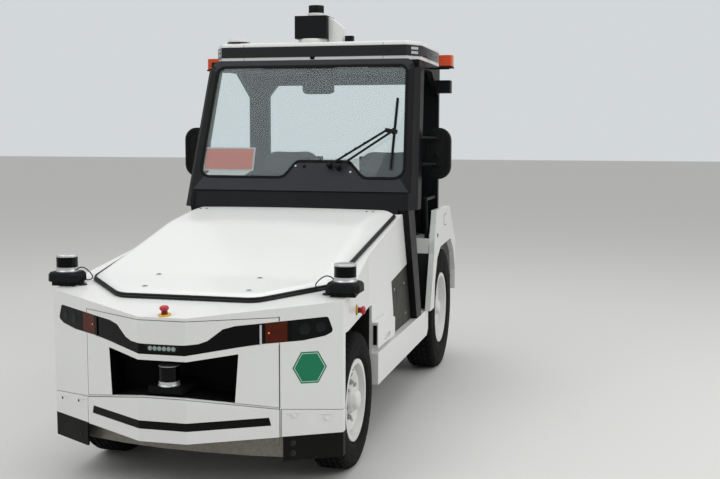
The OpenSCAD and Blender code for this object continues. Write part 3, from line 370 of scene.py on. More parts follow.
# Laminated glass: nearly clear, cool grey, mirror-like at a slant, under a thin cool pale veil
WINDOW_GLASS = Finish("laminated_glass", "#f4f9f9", 0.02, ior=1.3, clear=True, dust=0.085,
                      dust_colour="#c3d3d8")
# Silvered glass, reflects like a calm sky
MIRROR_GLASS = Finish("mirror_glass", "#d5dadd", 0.04, metallic=1.0, mottle=0.01)
# Vinyl-covered foam with a fine leather embossing
SEAT_VINYL = Finish("embossed_seat_vinyl", "#17181a", 0.48, specular=0.3, mottle=0.08, mottle_mm=60,
                    grain_mm=2.2, relief_mm=0.16)
# Sticker films: flat colour with a low gloss
GREEN_FILM = Finish("green_vinyl_film", "#0e7450", 0.4, specular=0.3, mottle=0.03, mottle_mm=60)
# White border of the card and the thin line in the film
WHITE_FILM = Finish("white_vinyl_film", "#e2e4e2", 0.4, specular=0.3, mottle=0.02, mottle_mm=60)
# The card behind the glass: flat salmon, uncoated paper
SALMON_CARD = Finish("salmon_card", "#fb7c5c", 0.62, mottle=0.03, mottle_mm=40)
# Reflective squares at the roof's corners: dull silver-white
MARKER_FILM = Finish("white_reflective_marker", "#b9bdbf", 0.35, mottle=0.06, mottle_mm=8)
# Headliner of grey needled felt
HEADLINER = Finish("needled_felt_headliner", "#3c3d3f", 0.9, specular=0.1, mottle=0.08, mottle_mm=12,
                   grain_mm=3, relief_mm=0.2)
# Bottom of a narrow gap, where no light gets in
DARK_GAP = Finish("shadowed_recess", "#0b0b0c", 0.8, specular=0.1, mottle=0.05)
# Painted shade of the narrow gap at the joint between two enamelled sheets
JOINT_GAP_SHADE = Finish("painted_joint_gap_shade", "#55554f", 0.8, specular=0.1, mottle=0.1, mottle_mm=20)

# The nodes that keep their shape, by their finish
NODE_FINISH = (
    (CHASSIS_PAINT, "chassis_frame rear_axle front_axle_beam leaf_springs"),
    (BATTERY_PAINT, "battery_block"),
    (CAST_STEEL, "drive_unit knuckle_left knuckle_right tie_rod tow_coupling"),
    (WHEEL_ENAMEL, "rim_front_left rim_front_right rim_rear_left rim_rear_right"),
    (WHITE_ENAMEL, "front_body front_mask front_bumper side_sills roof_brackets rear_body"),
    (SKIRT_RUBBER, "rubber_trim windscreen_seal"),
    (SMOKED_LENS, "lamp_band"), (AMBER_LENS, "turn_signals"), (HEADLAMP_LENS, "headlamps"),
    (GRILLE_ABS, "grille_box"), (ZINC_SCREW, "hood_hinges"), (LINER_PLASTIC, "arch_liners"),
    (OLIVE_PAINT, "side_panels"), (CHEQUER_PLATE, "cab_floor"), (CAB_POWDER, "windscreen_frame"),
    (WINDOW_GLASS, "windscreen"), (BLACK_POWDER, "wiper cab_frame grab_rails"),
    (GRAINED_ABS, "dashboard steering_wheel roof_sensor mirrors"),
    (BEACON_LENS, "beacons"), (RED_LENS, "rear_lamps"),
)
# Edge radius in millimetres where it isn't the usual 2 mm
EDGE_MM = {"front_body": 8.0, "front_mask": 0.0, "front_bumper": 0.8, "rear_body": 4.0,
           "windscreen_frame": 3.0, "dashboard": 6.0, "mirrors": 6.0, "side_sills": 4.0,
           "roof_sensor": 7.0, "beacons": 13.0, "tow_coupling": 4.0, "windscreen": 0.0,
           "headlamps": 0.5, "turn_signals": 0.5, "lamp_band": 1.0, "windscreen_seal": 1.5, "wiper": 1.0}


# Mesh helpers


def upright(point: Point, normal: Point, up: Point = (0, 0, 1)) -> Matrix:
    """Makes a frame on a surface.

    Args:
        point: Origin on the surface.
        normal: Direction that becomes the frame's Z.
        up: Direction that the frame's Y leans towards.

    Returns:
        Matrix from the frame to the tug's coordinates.
    """
    z = Vector(normal).normalized()
    x = Vector(up).cross(z)
    if x.length < 1e-4:
        x = Vector((1, 0, 0))
    x.normalize()
    y = z.cross(x)
    return Matrix.Translation(Vector(point)) @ Matrix((x, y, z)).transposed().to_4x4()


def add_rings(bm: Mesh, rings: Sequence[Sequence[Point]], low: bool = True, high: bool = True) -> None:
    """Stacks rings of corners into a solid or a shell.

    Args:
        bm: Mesh that takes the form.
        rings: Corners of each ring, the same number in each.
        low: Whether the first ring is closed.
        high: Whether the last ring is closed.
    """
    stack = [[bm.verts.new(corner) for corner in ring] for ring in rings]
    if low:
        bm.faces.new(list(reversed(stack[0])))
    if high:
        bm.faces.new(stack[-1])
    count = len(stack[0])
    for one, two in zip(stack, stack[1:]):
        for k in range(count):
            bm.faces.new((one[k], one[(k + 1) % count], two[(k + 1) % count], two[k]))


def add_prism(bm: Mesh, outline: Outline, depth: float, place: Matrix) -> Mesh:
    """Adds a flat plate.

    Args:
        bm: Mesh that takes the plate.
        outline: Corners in the frame's X and Y, counterclockwise.
        depth: Thickness along the frame's Z.
        place: Frame of the plate.

    Returns:
        The same mesh.
    """
    add_rings(bm, [[place @ Vector((x, y, z)) for x, y in outline] for z in (0, depth)])
    return bm


def add_box(bm: Mesh, low: Point, high: Point, place: Matrix = Matrix()) -> None:
    """Adds a box between two corners of a frame."""
    corners = [(low[0], low[1]), (high[0], low[1]), (high[0], high[1]), (low[0], high[1])]
    add_prism(bm, corners, high[2] - low[2], place @ Matrix.Translation((0, 0, low[2])))


def add_lathe(
    bm: Mesh, profile: Outline, place: Matrix, steps: int = 32,
    bend: Optional[Callable[[float, int, float], float]] = None,
) -> Mesh:
    """Turns a profile round the frame's Z.

    Args:
        bm: Mesh that takes the turned form.
        profile: Radius and height of each ring, from one end to the other.
        place: Frame of the axis.
        steps: Steps in a full turn.
        bend: Gives each point's radius from its own radius, ring number and angle.

    Returns:
        The same mesh.
    """
    rings: list[list[bmesh.types.BMVert]] = []
    for number, (radius, height) in enumerate(profile):
        if radius < 1e-6:
            rings.append([bm.verts.new(place @ Vector((0, 0, height)))])
            continue
        ring = []
        for k in range(steps):
            angle = 2 * pi * k / steps
            r = bend(radius, number, angle) if bend else radius
            ring.append(bm.verts.new(place @ Vector((r * cos(angle), r * sin(angle), height))))
        rings.append(ring)
    for low, high in zip(rings, rings[1:]):
        for k in range(steps):
            a, b = low[k % len(low)], low[(k + 1) % len(low)]
            c, d = high[(k + 1) % len(high)], high[k % len(high)]
            corners = [v for i, v in enumerate((a, b, c, d)) if v not in (a, b, c, d)[:i]]
            if len(corners) > 2:
                bm.faces.new(corners)
    return bm


def smooth_path(points: Sequence[Point], steps: int = 8) -> list[Vector]:
    """Runs a smooth curve through points.

    Args:
        points: Points of the route.
        steps: Steps between two points.

    Returns:
        Points of the curve.
    """
    p = [Vector(q) for q in points]
    p = [p[0] * 2 - p[1]] + p + [p[-1] * 2 - p[-2]]
    path = []
    for i in range(1, len(p) - 2):
        for k in range(steps):
            t = k / steps
            path.append(0.5 * (2 * p[i] + (p[i + 1] - p[i - 1]) * t
                               + (2 * p[i - 1] - 5 * p[i] + 4 * p[i + 1] - p[i + 2]) * t * t
                               + (3 * p[i] - p[i - 1] - 3 * p[i + 1] + p[i + 2]) * t ** 3))
    return path + [p[-2]]


def add_tube(bm: Mesh, path: Sequence[Vector], radius: float, sides: int = 12, closed: bool = False) -> None:
    """Adds a round tube along a path.

    Args:
        bm: Mesh that takes the tube.
        path: Points of its middle line.
        radius: Outer radius.
        sides: Sides of its section.
        closed: Whether the path ends where it starts.
    """
    path = [Vector(p) for p in path]
    count = len(path)
    side = None
    rings = []
    for i, point in enumerate(path):
        ahead = path[(i + 1) % count] if closed or i + 1 < count else path[i]
        behind = path[i - 1] if closed or i > 0 else path[i]
        along = (ahead - behind).normalized()
        if side is None:
            side = along.orthogonal()
        side = (side - along * side.dot(along)).normalized()
        other = along.cross(side)
        turns = [2 * pi * k / sides for k in range(sides)]
        rings.append([bm.verts.new(point + radius * (cos(a) * side + sin(a) * other)) for a in turns])
    pairs = list(zip(rings, rings[1:])) + ([(rings[-1], rings[0])] if closed else [])
    for low, high in pairs:
        for k in range(sides):
            bm.faces.new((low[k], low[(k + 1) % sides], high[(k + 1) % sides], high[k]))
    if not closed:
        bm.faces.new(list(reversed(rings[0])))
        bm.faces.new(rings[-1])


def rounded_box(half_w: float, half_h: float, r: float, steps: int = 5) -> list[Pair]:
    """Gives a rectangle with round corners.

    Args:
        half_w: Half its width.
        half_h: Half its height.
        r: Radius of its corners.
        steps: Steps in each corner.

    Returns:
        Points, counterclockwise.
    """
    points = []
    for cx, cy, start in ((1, 1, 0), (-1, 1, 90), (-1, -1, 180), (1, -1, 270)):
        for k in range(steps + 1):
            a = radians(start + 90 * k / steps)
            points.append((cx * (half_w - r) + r * cos(a), cy * (half_h - r) + r * sin(a)))
    return points


def add_screw(bm: Mesh, place: Matrix, radius: float, height: float) -> None:
    """Adds a round-headed screw on its washer, standing on the frame's XY plane."""
    add_lathe(bm, [(0, -0.001), (radius * 1.5, -0.001), (radius * 1.5, height * 0.25), (radius, height * 0.3),
                   (radius * 0.94, height * 0.75), (radius * 0.7, height), (0, height * 1.05)], place, 20)


def add_nut(bm: Mesh, place: Matrix, radius: float, height: float) -> None:
    """Adds a hexagon nut with a washer and a stud end.

    Args:
        bm: Mesh that takes the nut.
        place: Frame whose XY plane it stands on.
        radius: Radius over its corners.
        height: A little more than the height of nut and washer.
    """
    hexagon = [(radius * cos(radians(60 * k)), radius * sin(radians(60 * k))) for k in range(6)]
    add_lathe(bm, [(0, -0.001), (radius * 1.35, -0.001), (radius * 1.35, height * 0.16), (0, height * 0.16)],
              place, 24)
    add_prism(bm, hexagon, height * 0.74, place @ Matrix.Translation((0, 0, height * 0.16)))
    add_lathe(bm, [(radius * 0.55, height * 0.9), (radius * 0.55, height * 1.25), (0, height * 1.3)], place,
              12)


def make_piece(name: str, bm: Mesh, finish: Finish, edge_mm: float = 0.0,
               body: str = CHASSIS) -> Piece:
    """Turns a mesh into a piece of the tug.

    Args:
        name: Name of the piece.
        bm: Its mesh, which is used up.
        finish: Its finish.
        edge_mm: Radius of its edges.
        body: Body that it rides on.

    Returns:
        The piece.
    """
    bmesh.ops.recalc_face_normals(bm, faces=bm.faces)
    mesh = bpy.data.meshes.new(name)
    bm.to_mesh(mesh)
    bm.free()
    piece = bpy.data.objects.new(name, mesh)
    bpy.context.scene.collection.objects.link(piece)
    mesh.materials.append(finish.build())
    shade(piece)
    if edge_mm:
        bevel(piece, edge_mm)
    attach(piece, body)
    return piece


def turned(name: str, profile: Outline, place: Matrix, steps: int, finish: Finish,
           body: str = CHASSIS) -> Piece:
    """Makes a piece by turning one profile of radius and height round a frame's Z."""
    return make_piece(name, add_lathe(bmesh.new(), profile, place, steps), finish, body=body)


def plate(name: str, outline: Outline, depth: float, place: Matrix, finish: Finish,
          edge_mm: float = 0.0) -> Piece:
    """Makes a piece that is one flat plate."""
    return make_piece(name, add_prism(bmesh.new(), outline, depth, place), finish, edge_mm)


def blocks(name: str, corners: Sequence[tuple[Point, Point]], finish: Finish,
          edge_mm: float = 0.0) -> Piece:
    """Makes a piece of boxes.

    Args:
        name: Name of the piece.
        corners: Low and high corner of each box.
        finish: Its finish.
        edge_mm: Radius of its edges.

    Returns:
        The piece.
    """
    bm = bmesh.new()
    for low, high in corners:
        add_box(bm, low, high)
    return make_piece(name, bm, finish, edge_mm)


def shade(piece: Piece, angle: float = 32) -> None:
    """Shades a piece smooth, with its creases kept.

    Args:
        piece: Piece to shade.
        angle: Angle in degrees over which a crease stays sharp.
    """
    mesh = piece.data
    for face in mesh.polygons:
        face.use_smooth = True
    bm = bmesh.new()
    bm.from_mesh(mesh)
    for edge in bm.edges:
        if len(edge.link_faces) == 2 and edge.calc_face_angle(0) > radians(angle):
            edge.smooth = False
    bm.to_mesh(mesh)
    bm.free()


def bevel(piece: Piece, width_mm: float) -> None:
    """Rounds the edges of a piece over 35 degrees.

    Args:
        piece: Piece to round.
        width_mm: Width of the rounding.
    """
    modifier = piece.modifiers.new("edges", "BEVEL")
    modifier.width = width_mm * MM
    modifier.segments = 3
    modifier.limit_method = "ANGLE"
    modifier.angle_limit = radians(35)
    modifier.use_clamp_overlap = True
    modifier.harden_normals = True
    modifier.miter_outer = "MITER_ARC"


@dataclass
class Skin:
    """The surface of one node, for placing what sits on it."""

    node: str

    def __post_init__(self) -> None:
        """Reads the node's mesh."""
        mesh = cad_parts[self.node].data
        self.tree = BVHTree.FromPolygons([v.co.copy() for v in mesh.vertices],
                                         [p.vertices[:] for p in mesh.polygons])

    def seat(self, start: Point, towards: Point, up: Point = (0, 0, 1)) -> Matrix:
        """Finds where a ray meets the surface.

        Args:
            start: Start of the ray.
            towards: Its direction.
            up: Direction that the frame's Y leans towards.

        Returns:
            Frame on the surface, with Z outwards.
        """
        point, normal, _, _ = self.tree.ray_cast(Vector(start), Vector(towards).normalized())
        if point is None:
            raise ValueError(f"the ray from {tuple(start)} misses {self.node}")
        if normal.dot(Vector(towards)) > 0:
            normal = -normal
        return upright(point, normal, up)


def deck_z(y: float) -> float:
    """Gives the height of the body's deck at a place along the tug."""
    return 0.797 + (y + 1.75) * 0.131 if y < -1.239 else 0.8639 + (y + 1.239) * 0.176


# The frame's own nodes


@dataclass
class FrameDress:
    """Gives the nodes that keep their shape their finish and their edge radius."""

    usual_edge_mm: float = 2.0
    tight_share: float = 0.0
    cowl_top: float = 1.217
    panel_half: float = 0.6

    def build(self) -> None:
        """Dresses each node."""
        rows = [(name, finish) for finish, names in NODE_FINISH for name in names.split()]
        for name, finish in rows:
            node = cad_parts[name]
            node.data.materials.clear()
            node.data.materials.append(finish.build())
            for face in node.data.polygons:
                face.material_index = 0
            width = EDGE_MM.get(name, self.usual_edge_mm)
            if not width:
                continue
            weld = node.modifiers.new("weld", "WELD")
            weld.merge_threshold = 0.00001
            bevel(node, width)
        self._soften_folds()
        self._blacken_posts()
        self._blacken_faces()
        LOG.info("dressed %d nodes", len(rows))

    def _blacken_faces(self) -> None:
        """Blackens the grille's mouth inside the mask and the arms that carry the beacons."""
        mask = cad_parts["front_mask"]
        mask.data.materials.append(GRILLE_ABS.build())
        for face in mask.data.polygons:
            inside = abs(face.center.x) < 0.34 and face.center.z < 0.66
            if inside and abs(face.normal.y) < 0.5:
                face.material_index = 1
        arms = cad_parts["beacons"]
        arms.data.materials.append(BLACK_POWDER.build())
        for face in arms.data.polygons:
            if face.center.z < 1.946 or abs(face.center.x) < 0.7055:
                face.material_index = 1

    def _soften_folds(self) -> None:
        """Rounds only the outer folds of the nose, and leaves its joints with the mask tight."""
        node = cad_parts["front_body"]
        bm = bmesh.new()
        bm.from_mesh(node.data)
        weights = []
        for edge in bm.edges:
            middle = (edge.verts[0].co + edge.verts[1].co) / 2
            bend = edge.calc_face_angle(0) if len(edge.link_faces) == 2 else 0
            outer = abs(deck_z(middle.y) - middle.z) < 0.004 or (abs(middle.x) > 0.6 and middle.z > 0.45)
            weights.append((1.0 if outer else self.tight_share) if bend > radians(25) else 0.0)
        bm.free()
        layer = node.data.attributes.new("bevel_weight_edge", "FLOAT", "EDGE")
        layer.data.foreach_set("value", weights)
        node.modifiers["edges"].limit_method = "WEIGHT"

    def _blacken_posts(self) -> None:
        """Gives the screen frame's posts their black coat, and draws the cowl band below the screen nearly
        black.
        """
        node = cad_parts["windscreen_frame"]
        node.data.materials.append(BLACK_POWDER.build())
        node.data.materials.append(NEARLY_BLACK_COWL_BAND.build())
        for face in node.data.polygons:
            if face.center.z < self.cowl_top:
                face.material_index = 2
            elif abs(face.center.x) > self.panel_half:
                face.material_index = 1


# Wheels


@dataclass
class Tyre:
    """A pneumatic tyre with a road tread."""

    name: str
    body: str
    centre: Triple
    radius: float
    width: float
    rim_radius: float
    outward: float
    lugs: int = 60
    steps: int = 360
    groove: float = 0.009

    def _section(self) -> list[Triple]:
        """Gives the section from the inner bead to the outer one.

        Returns:
            Radius, place across the tyre and share of the tread relief of each point.
        """
        half, r, rim = self.width / 2, self.radius, self.rim_radius
        wall = [
            (rim + 0.001, half - 0.022, 0), (rim + 0.01, half - 0.0195, 0), (rim + 0.018, half - 0.013, 0),
            (rim + 0.024, half - 0.009, 0), (rim + 0.03, half - 0.006, 0), (rim + 0.038, half - 0.0042, 0),
            (rim + 0.04, half - 0.003, 0), (rim + 0.046, half - 0.0026, 0), (rim + 0.048, half - 0.0034, 0),
            ((rim + r) / 2 - 0.006, half - 0.0016, 0), ((rim + r) / 2, half - 0.0006, 0),
            ((rim + r) / 2 + 0.004, half - 0.0006, 0), ((rim + r) / 2 + 0.006, half - 0.0014, 0),
            (r - 0.042, half - 0.0024, 0), (r - 0.034, half - 0.0032, 0.35), (r - 0.024, half - 0.0052, 0.8),
            (r - 0.014, half - 0.0098, 1), (r - 0.007, half - 0.016, 1), (r - 0.0025, half - 0.024, 1),
        ]
        tread = [(r - 0.0006 * (abs(x) / half) ** 2, x, 1) for x in self._across(half)]
        left = [(a, -b, c) for a, b, c in wall]
        return left + tread + list(reversed(wall))

    def _across(self, half: float) -> list[float]:
        """Spaces the rings of the tread, close together at its four grooves.

        Args:
            half: Half the tyre's width.

        Returns:
            Places across the tyre.
        """
        places = [-half + 0.03]
        for middle in self._grooves(half):
            places += [middle - 0.005, middle - 0.0036, middle + 0.0036, middle + 0.005]
        places.append(half - 0.03)
        return places

    def _grooves(self, half: float) -> list[float]:
        """Gives the middles of the four grooves."""
        return [-half * 0.5, -half * 0.17, half * 0.17, half * 0.5]

    def _relief(self, section: list[Triple]) -> Callable[[float, int, float], float]:
        """Makes the function that cuts the tread.

        Args:
            section: Points of the section.

        Returns:
            Function of radius, point number and angle that gives the new radius.
        """
        half = self.width / 2
        grooves = self._grooves(half)

        def cut(radius: float, number: int, angle: float) -> float:
            """Lowers a point that lies in a groove or a slot.

            Args:
                radius: The point's radius.
                number: Its number in the section.
                angle: Its angle round the wheel.

            Returns:
                Its new radius.
            """
            _, x, share = section[number]
            if share == 0:
                return radius
            if share == 1 and any(abs(x - g) < 0.0045 for g in grooves) and abs(x) < half - 0.028:
                return radius - self.groove
            turn = angle * self.lugs / (2 * pi) + 0.5 * (abs(x) > half * 0.5) + 0.9 * abs(x) / half
            phase = turn - floor(turn)
            slot = 0.2 if abs(x) > half * 0.5 else 0.13
            return radius - self.groove * 0.8 * share if phase < slot else radius

        return cut

    def build(self) -> None:
        """Builds the tyre in place of its plain node."""
        section = self._section()
        bm = bmesh.new()
        place = Matrix.Translation(self.centre) @ Matrix.Rotation(pi / 2, 4, "Y")
        add_lathe(bm, [(r, x) for r, x, _ in section], place, self.steps, self._relief(section))
        inner = self.rim_radius + 0.0005
        add_lathe(bm, [(self.rim_radius + 0.001, -self.width / 2 + 0.022), (inner, 0),
                       (self.rim_radius + 0.001, self.width / 2 - 0.022)], place, self.steps)
        bmesh.ops.remove_doubles(bm, verts=bm.verts, dist=0.00001)
        piece = make_piece(self.name + "_tread", bm, TYRE_RUBBER, body=self.body)
        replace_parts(piece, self.name)
        self._valve()
        LOG.info("%s: tyre with %d tread blocks a row", self.name, self.lugs)

    def _valve(self) -> None:
        """Builds the valve stem in the disc."""
        start = Vector((self.centre[0] + self.outward * 0.03, self.centre[1],
                        self.centre[2] + self.rim_radius - 0.03))
        stem = Vector((self.outward * 0.03, 0, -0.012))
        bm = bmesh.new()
        add_tube(bm, [start - stem * 0.6, start, start + stem], 0.0045, 12)
        make_piece(self.name + "_valve", bm, SEAL_RUBBER, body=self.body)


@dataclass
class WheelHub:
    """Nuts and grease cap in the middle of a wheel."""

    name: str
    body: str
    rim: str
    centre: Triple
    outward: float
    nuts: int
    pitch_radius: float
    cap_radius: float = 0.046

    def build(self) -> None:
        """Builds the nuts on the disc and the cap on the hub."""
        skin = Skin(self.rim)
        bm = bmesh.new()
        for k in range(self.nuts):
            a = 2 * pi * (k + 0.25) / self.nuts
            y, z = self.pitch_radius * cos(a), self.pitch_radius * sin(a)
            start = (self.centre[0] + self.outward * 0.3, self.centre[1] + y, self.centre[2] + z)
            place = skin.seat(start, (-self.outward, 0, 0))
            add_nut(bm, upright(place.translation, (self.outward, 0, 0)), 0.0125, 0.016)
        make_piece(self.name + "_nuts", bm, ZINC_SCREW, 0.6, self.body)
        # The cap closes the hub's outer end
        end = skin.seat((self.centre[0] + self.outward * 0.4, self.centre[1] + 0.045, self.centre[2]),
                        (-self.outward, 0, 0)).translation.x
        place = upright((end, self.centre[1], self.centre[2]), (self.outward, 0, 0))
        r = self.cap_radius
        profile = [(0, -0.0005), (r + 0.004, -0.0005), (r + 0.004, 0.004), (r, 0.005), (r - 0.002, 0.016),
                   (r - 0.008, 0.023), (r - 0.02, 0.027), (0, 0.028)]
        turned(self.name + "_grease_cap", profile, place, 40, WHEEL_ENAMEL, self.body)
        LOG.info("%s: %d nuts and a cap", self.name, self.nuts)


# Nose


@dataclass
class Nose:
    """What sits on the faceted nose: lamps, screws, stop buttons, film, lips, painted joint shade and the
    under sheet.
    """

    front_y: float = -1.75
    flat: float = 0.105
    sweep: float = radians(30)
    inset: float = 0.005
    # Screws as place across, height and head radius
    painted_screws: tuple = ((0.489, 0.368, 0.0085), (0.612, 0.345, 0.0085))
    dark_screws: tuple = ((0.486, 0.249, 0.009), (0.486, 0.206, 0.009), (-0.5, 0.212, 0.005),
                          (-0.628, 0.352, 0.004), (-0.51, 0.364, 0.004))
    # Lamp units as place across and radius
    lamps: tuple = ((0.53, 0.024), (0.59, 0.022))
    # Joint lines as their two ends and half width
    joints: tuple = (((0.437, 0.4), (0.437, 0.672), 0.0011), ((0.437, 0.772), (0.437, 0.79), 0.0011),
                     ((-0.437, 0.275), (-0.437, 0.398), 0.002), ((0.437, 0.24), (0.437, 0.4), 0.0012))
    # Under sheet's bends as place across, place along and height of its lower edge
    bends: tuple = ((-0.478, -1.478, 0.196), (-0.3, -1.507, 0.188), (-0.105, -1.517, 0.18),
                    (0.105, -1.517, 0.177), (0.3, -1.507, 0.175), (0.478, -1.478, 0.173))
    sheet_top: float = 0.285
    light_bar_z: float = 0.67
    film: Pair = (0.549, 0.568)

    def point(self, x: float, z: float, depth: float) -> Vector:
        """Finds a point of the nose.

        Args:
            x: Place across.
            z: Height.
            depth: How deep the point is sunk.

        Returns:
            The point.
        """
        if abs(x) <= self.flat - depth * tan(self.sweep / 2):
            return Vector((x, self.front_y + depth, z))
        back = depth / cos(self.sweep) + (abs(x) - self.flat) * tan(self.sweep)
        return Vector((x, self.front_y + back, z))

    def normal(self, x: float) -> Vector:
        """Gives the outward direction of a facet.

        Args:
            x: Place across.

        Returns:
            Direction of unit length.
        """
        if abs(x) <= self.flat:
            return Vector((0, -1, 0))
        return Vector((copysign(sin(self.sweep), x), -cos(self.sweep), 0))

    def place(self, x: float, z: float, depth: float) -> Matrix:
        """Gives a frame on the nose with Z outwards."""
        return upright(self.point(x, z, depth), self.normal(x))

    def build(self) -> None:
        """Builds all the nose's details."""
        self._screws()
        self._lamps()
        self._light_bar()
        self._film()
        self._buttons()
        self._mouldings()
        self._seams()
        self._under_plate()
        LOG.info("nose: screws, lamps, film, buttons, seams, under plate")

    def _screws(self) -> None:
        """Builds the screws of the corner covers and skirts."""
        for name, finish, rows in (("cover_screws", WHITE_ENAMEL, self.painted_screws),
                                   ("skirt_screws", DARK_SCREW_AND_DIVIDER_SHADE, self.dark_screws)):
            bm = bmesh.new()
            for x, z, r in rows:
                add_screw(bm, self.place(x, z, self.inset), r, r * 0.7)
            make_piece(name, bm, finish)

    def _seams(self) -> None:
        """Paints the shade of the joint gaps beside the bumper and the mask's right edge."""
        bm = bmesh.new()
        for (x0, z0), (x1, z1), width in self.joints:
            place = self.place((x0 + x1) / 2, (z0 + z1) / 2, self.inset - 0.0003)
            across = (x1 - x0) / 2 / cos(self.sweep)
            up = (z1 - z0) / 2
            side = Vector((-up, across)).normalized() * width
            corners = [(-across - side.x, -up - side.y), (across - side.x, up - side.y),
                       (across + side.x, up + side.y), (-across + side.x, -up + side.y)]
            add_prism(bm, corners, 0.0006, place)
        make_piece("sheet_joints", bm, JOINT_GAP_SHADE)

    def _under_plate(self) -> None:
        """Folds the galvanised sheet that closes the gap between the skirts."""
        bm = bmesh.new()
        thick, lip, top = 0.003, 0.022, self.sheet_top
        for pair in zip(self.bends, self.bends[1:]):
            # Section of the sheet at both bends: front face, top edge, back face, folded lip
            ends = [[bm.verts.new(corner) for corner in
                     ((x, y, low), (x, y, top), (x, y + thick, top), (x, y + thick, low + thick),
                      (x, y + lip, low + thick), (x, y + lip, low))] for x, y, low in pair]
            for k in range(6):
                bm.faces.new((ends[0][k], ends[1][k], ends[1][(k + 1) % 6], ends[0][(k + 1) % 6]))
        bmesh.ops.remove_doubles(bm, verts=bm.verts, dist=0.00001)
        bmesh.ops.holes_fill(bm, edges=bm.edges, sides=8)
        sheet = make_piece("under_sheet", bm, GALVANISED, 1.0)
        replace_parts(sheet, "under_plate")

    def _lamps(self) -> None:
        """Builds the round lamp units that show faintly under the smoked cover."""
        for side in Side:
            bm = bmesh.new()
            for x, r in self.lamps:
                place = self.place(side.value * x, 0.731 + (x - 0.53) * 0.1, self.inset + 0.001)
                add_lathe(bm, [(r, 0.0001), (r, 0.0011), (r - 0.002, 0.0015), (r - 0.004, 0.0012),
                               (r - 0.005, 0.0003), (r - 0.009, 0.0006), (0, 0.0012)], place, 40)
            name = side.word
            make_piece(f"lamp_rings_{name}", bm, LAMP_RING)
            lean = [(-0.0045, -0.04), (0.0045, -0.0392), (0.0045, 0.042), (-0.0045, 0.041)]
            # The right divider sits deep in the band and gets the dark screw finish as painted shade; the
            # left one stays bare aluminium
            finish = ALUMINIUM if side is Side.LEFT else DARK_SCREW_AND_DIVIDER_SHADE
            place = self.place(side.value * 0.3705, 0.7165, self.inset - 0.0012)
            plate(f"lamp_divider_{name}", lean, 0.003, place, finish, 0.8)
            # A small glowing spot on each signal is a painted highlight on its lens
            turned(f"signal_spot_{name}", [(0.0042, 0), (0.0036, 0.0008), (0.002, 0.0014), (0, 0.0016)],
                   self.place(side.value * 0.4, 0.722, self.inset - 0.0004), 20, AMBER_GLINT)

    def _light_bar(self) -> None:
        """Builds the row of small optics in the middle of the lamp band."""
        place = self.place(0, self.light_bar_z, self.inset + 0.0012)
        tray = [(-0.06, -0.0135), (0.06, -0.0135), (0.073, 0.0135), (-0.073, 0.0135)]
        plate("light_bar_tray", tray, 0.0012, place, LAMP_RING)
        bm = bmesh.new()
        count, pitch = 6, 0.0205
        for k in range(count):
            spot = place @ Matrix.Translation(((k - (count - 1) / 2) * pitch, 0, 0.0011))
            add_lathe(bm, [(0.0094, 0), (0.0092, 0.0008), (0.008, 0.0012), (0.0072, 0.0006),
                           (0.005, 0.0016), (0, 0.0024)], spot, 24)
        make_piece("light_bar_optics", bm, LED_CHIP)

    def _film(self) -> None:
        """Lays the blank hexagon of film on the left facet: a green field with a thin white line inside."""
        shape = [(0.074, 0), (0.037, 0.067), (-0.037, 0.067), (-0.074, 0), (-0.037, -0.067), (0.037, -0.067)]
        for name, finish, grow, lift in (("film_edge", GREEN_FILM, 1.0, 0.0),
                                         ("film_line", WHITE_FILM, 0.905, 0.0003),
                                         ("film_field", GREEN_FILM, 0.875, 0.0005)):
            place = self.place(*self.film, self.inset - lift)
            plate(name, [(x * grow, y * grow) for x, y in shape], 0.0005, place, finish)

    def _button(self, place: Matrix, name: str, wide: bool) -> None:
        """Builds one stop button: yellow collar, a shaft darkened with painted shade, and red mushroom head.

        Args:
            place: Frame on the panel, with Z outwards.
            name: Name of the button.
            wide: Whether its collar is the wide flat one.
        """
        collar_r, base = (0.027, 0.0003) if wide else (0.0215, 0.002)
        stem_z = base + 0.0046
        profile = [(0, base), (collar_r, base), (collar_r, base + 0.003), (collar_r - 0.001, base + 0.004),
                   (0.015, stem_z), (0, stem_z)]
        collar = turned(name + "_collar", profile, place, 40, YELLOW_COLLAR)
        if not wide:
            foot = [(0, 0.0003), (0.024, 0.0003), (0.024, 0.0016), (0.0235, 0.002), (0, 0.002)]
            turned(name + "_base", foot, place, 40, GRAINED_ABS)
        # The shaft's darker red is painted shade from the head above it
        stem = [(0, stem_z), (0.0135, stem_z), (0.0128, 0.012), (0.0125, 0.024), (0, 0.024)]
        turned(name + "_stem", stem, place, 32, PAINTED_SHADE_RED_STEM)
        cap = [(0, 0.0205), (0.0125, 0.0205), (0.0165, 0.0225), (0.0192, 0.0265), (0.0195, 0.03),
               (0.018, 0.0345), (0.0145, 0.038), (0.008, 0.0402), (0, 0.0408)]
        head = turned(name + "_head", cap, place, 40, RED_BUTTON)
        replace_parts(head, "emergency_buttons")
        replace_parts(collar, "emergency_buttons")

    def _buttons(self) -> None:
        """Builds the three stop buttons on the front and the sides."""
        skin = Skin("front_body")
        self._button(skin.seat((0, -1.71, 1.2), (0, 0, -1), (0, 1, 0)), "stop_button_front", True)
        for side in Side:
            place = skin.seat((side.value * 0.9, -1.103, 0.752), (-side.value, 0, 0))
            self._button(place, f"stop_button_{side.word}", False)

    def _mouldings(self) -> None:
        """Builds the folded lips over the two cover screws on each side."""
        bm = bmesh.new()
        lip = [(-0.026, -0.0015), (0.026, -0.0015), (0.024, 0.0012), (-0.024, 0.0012)]
        for x in (0.489, 0.612, -0.612, -0.489):
            add_prism(bm, lip, 0.004, self.place(x, 0.382 - (abs(x) - 0.445) * 0.1, self.inset))
        make_piece("cover_lips", bm, WHITE_ENAMEL, 0.8)


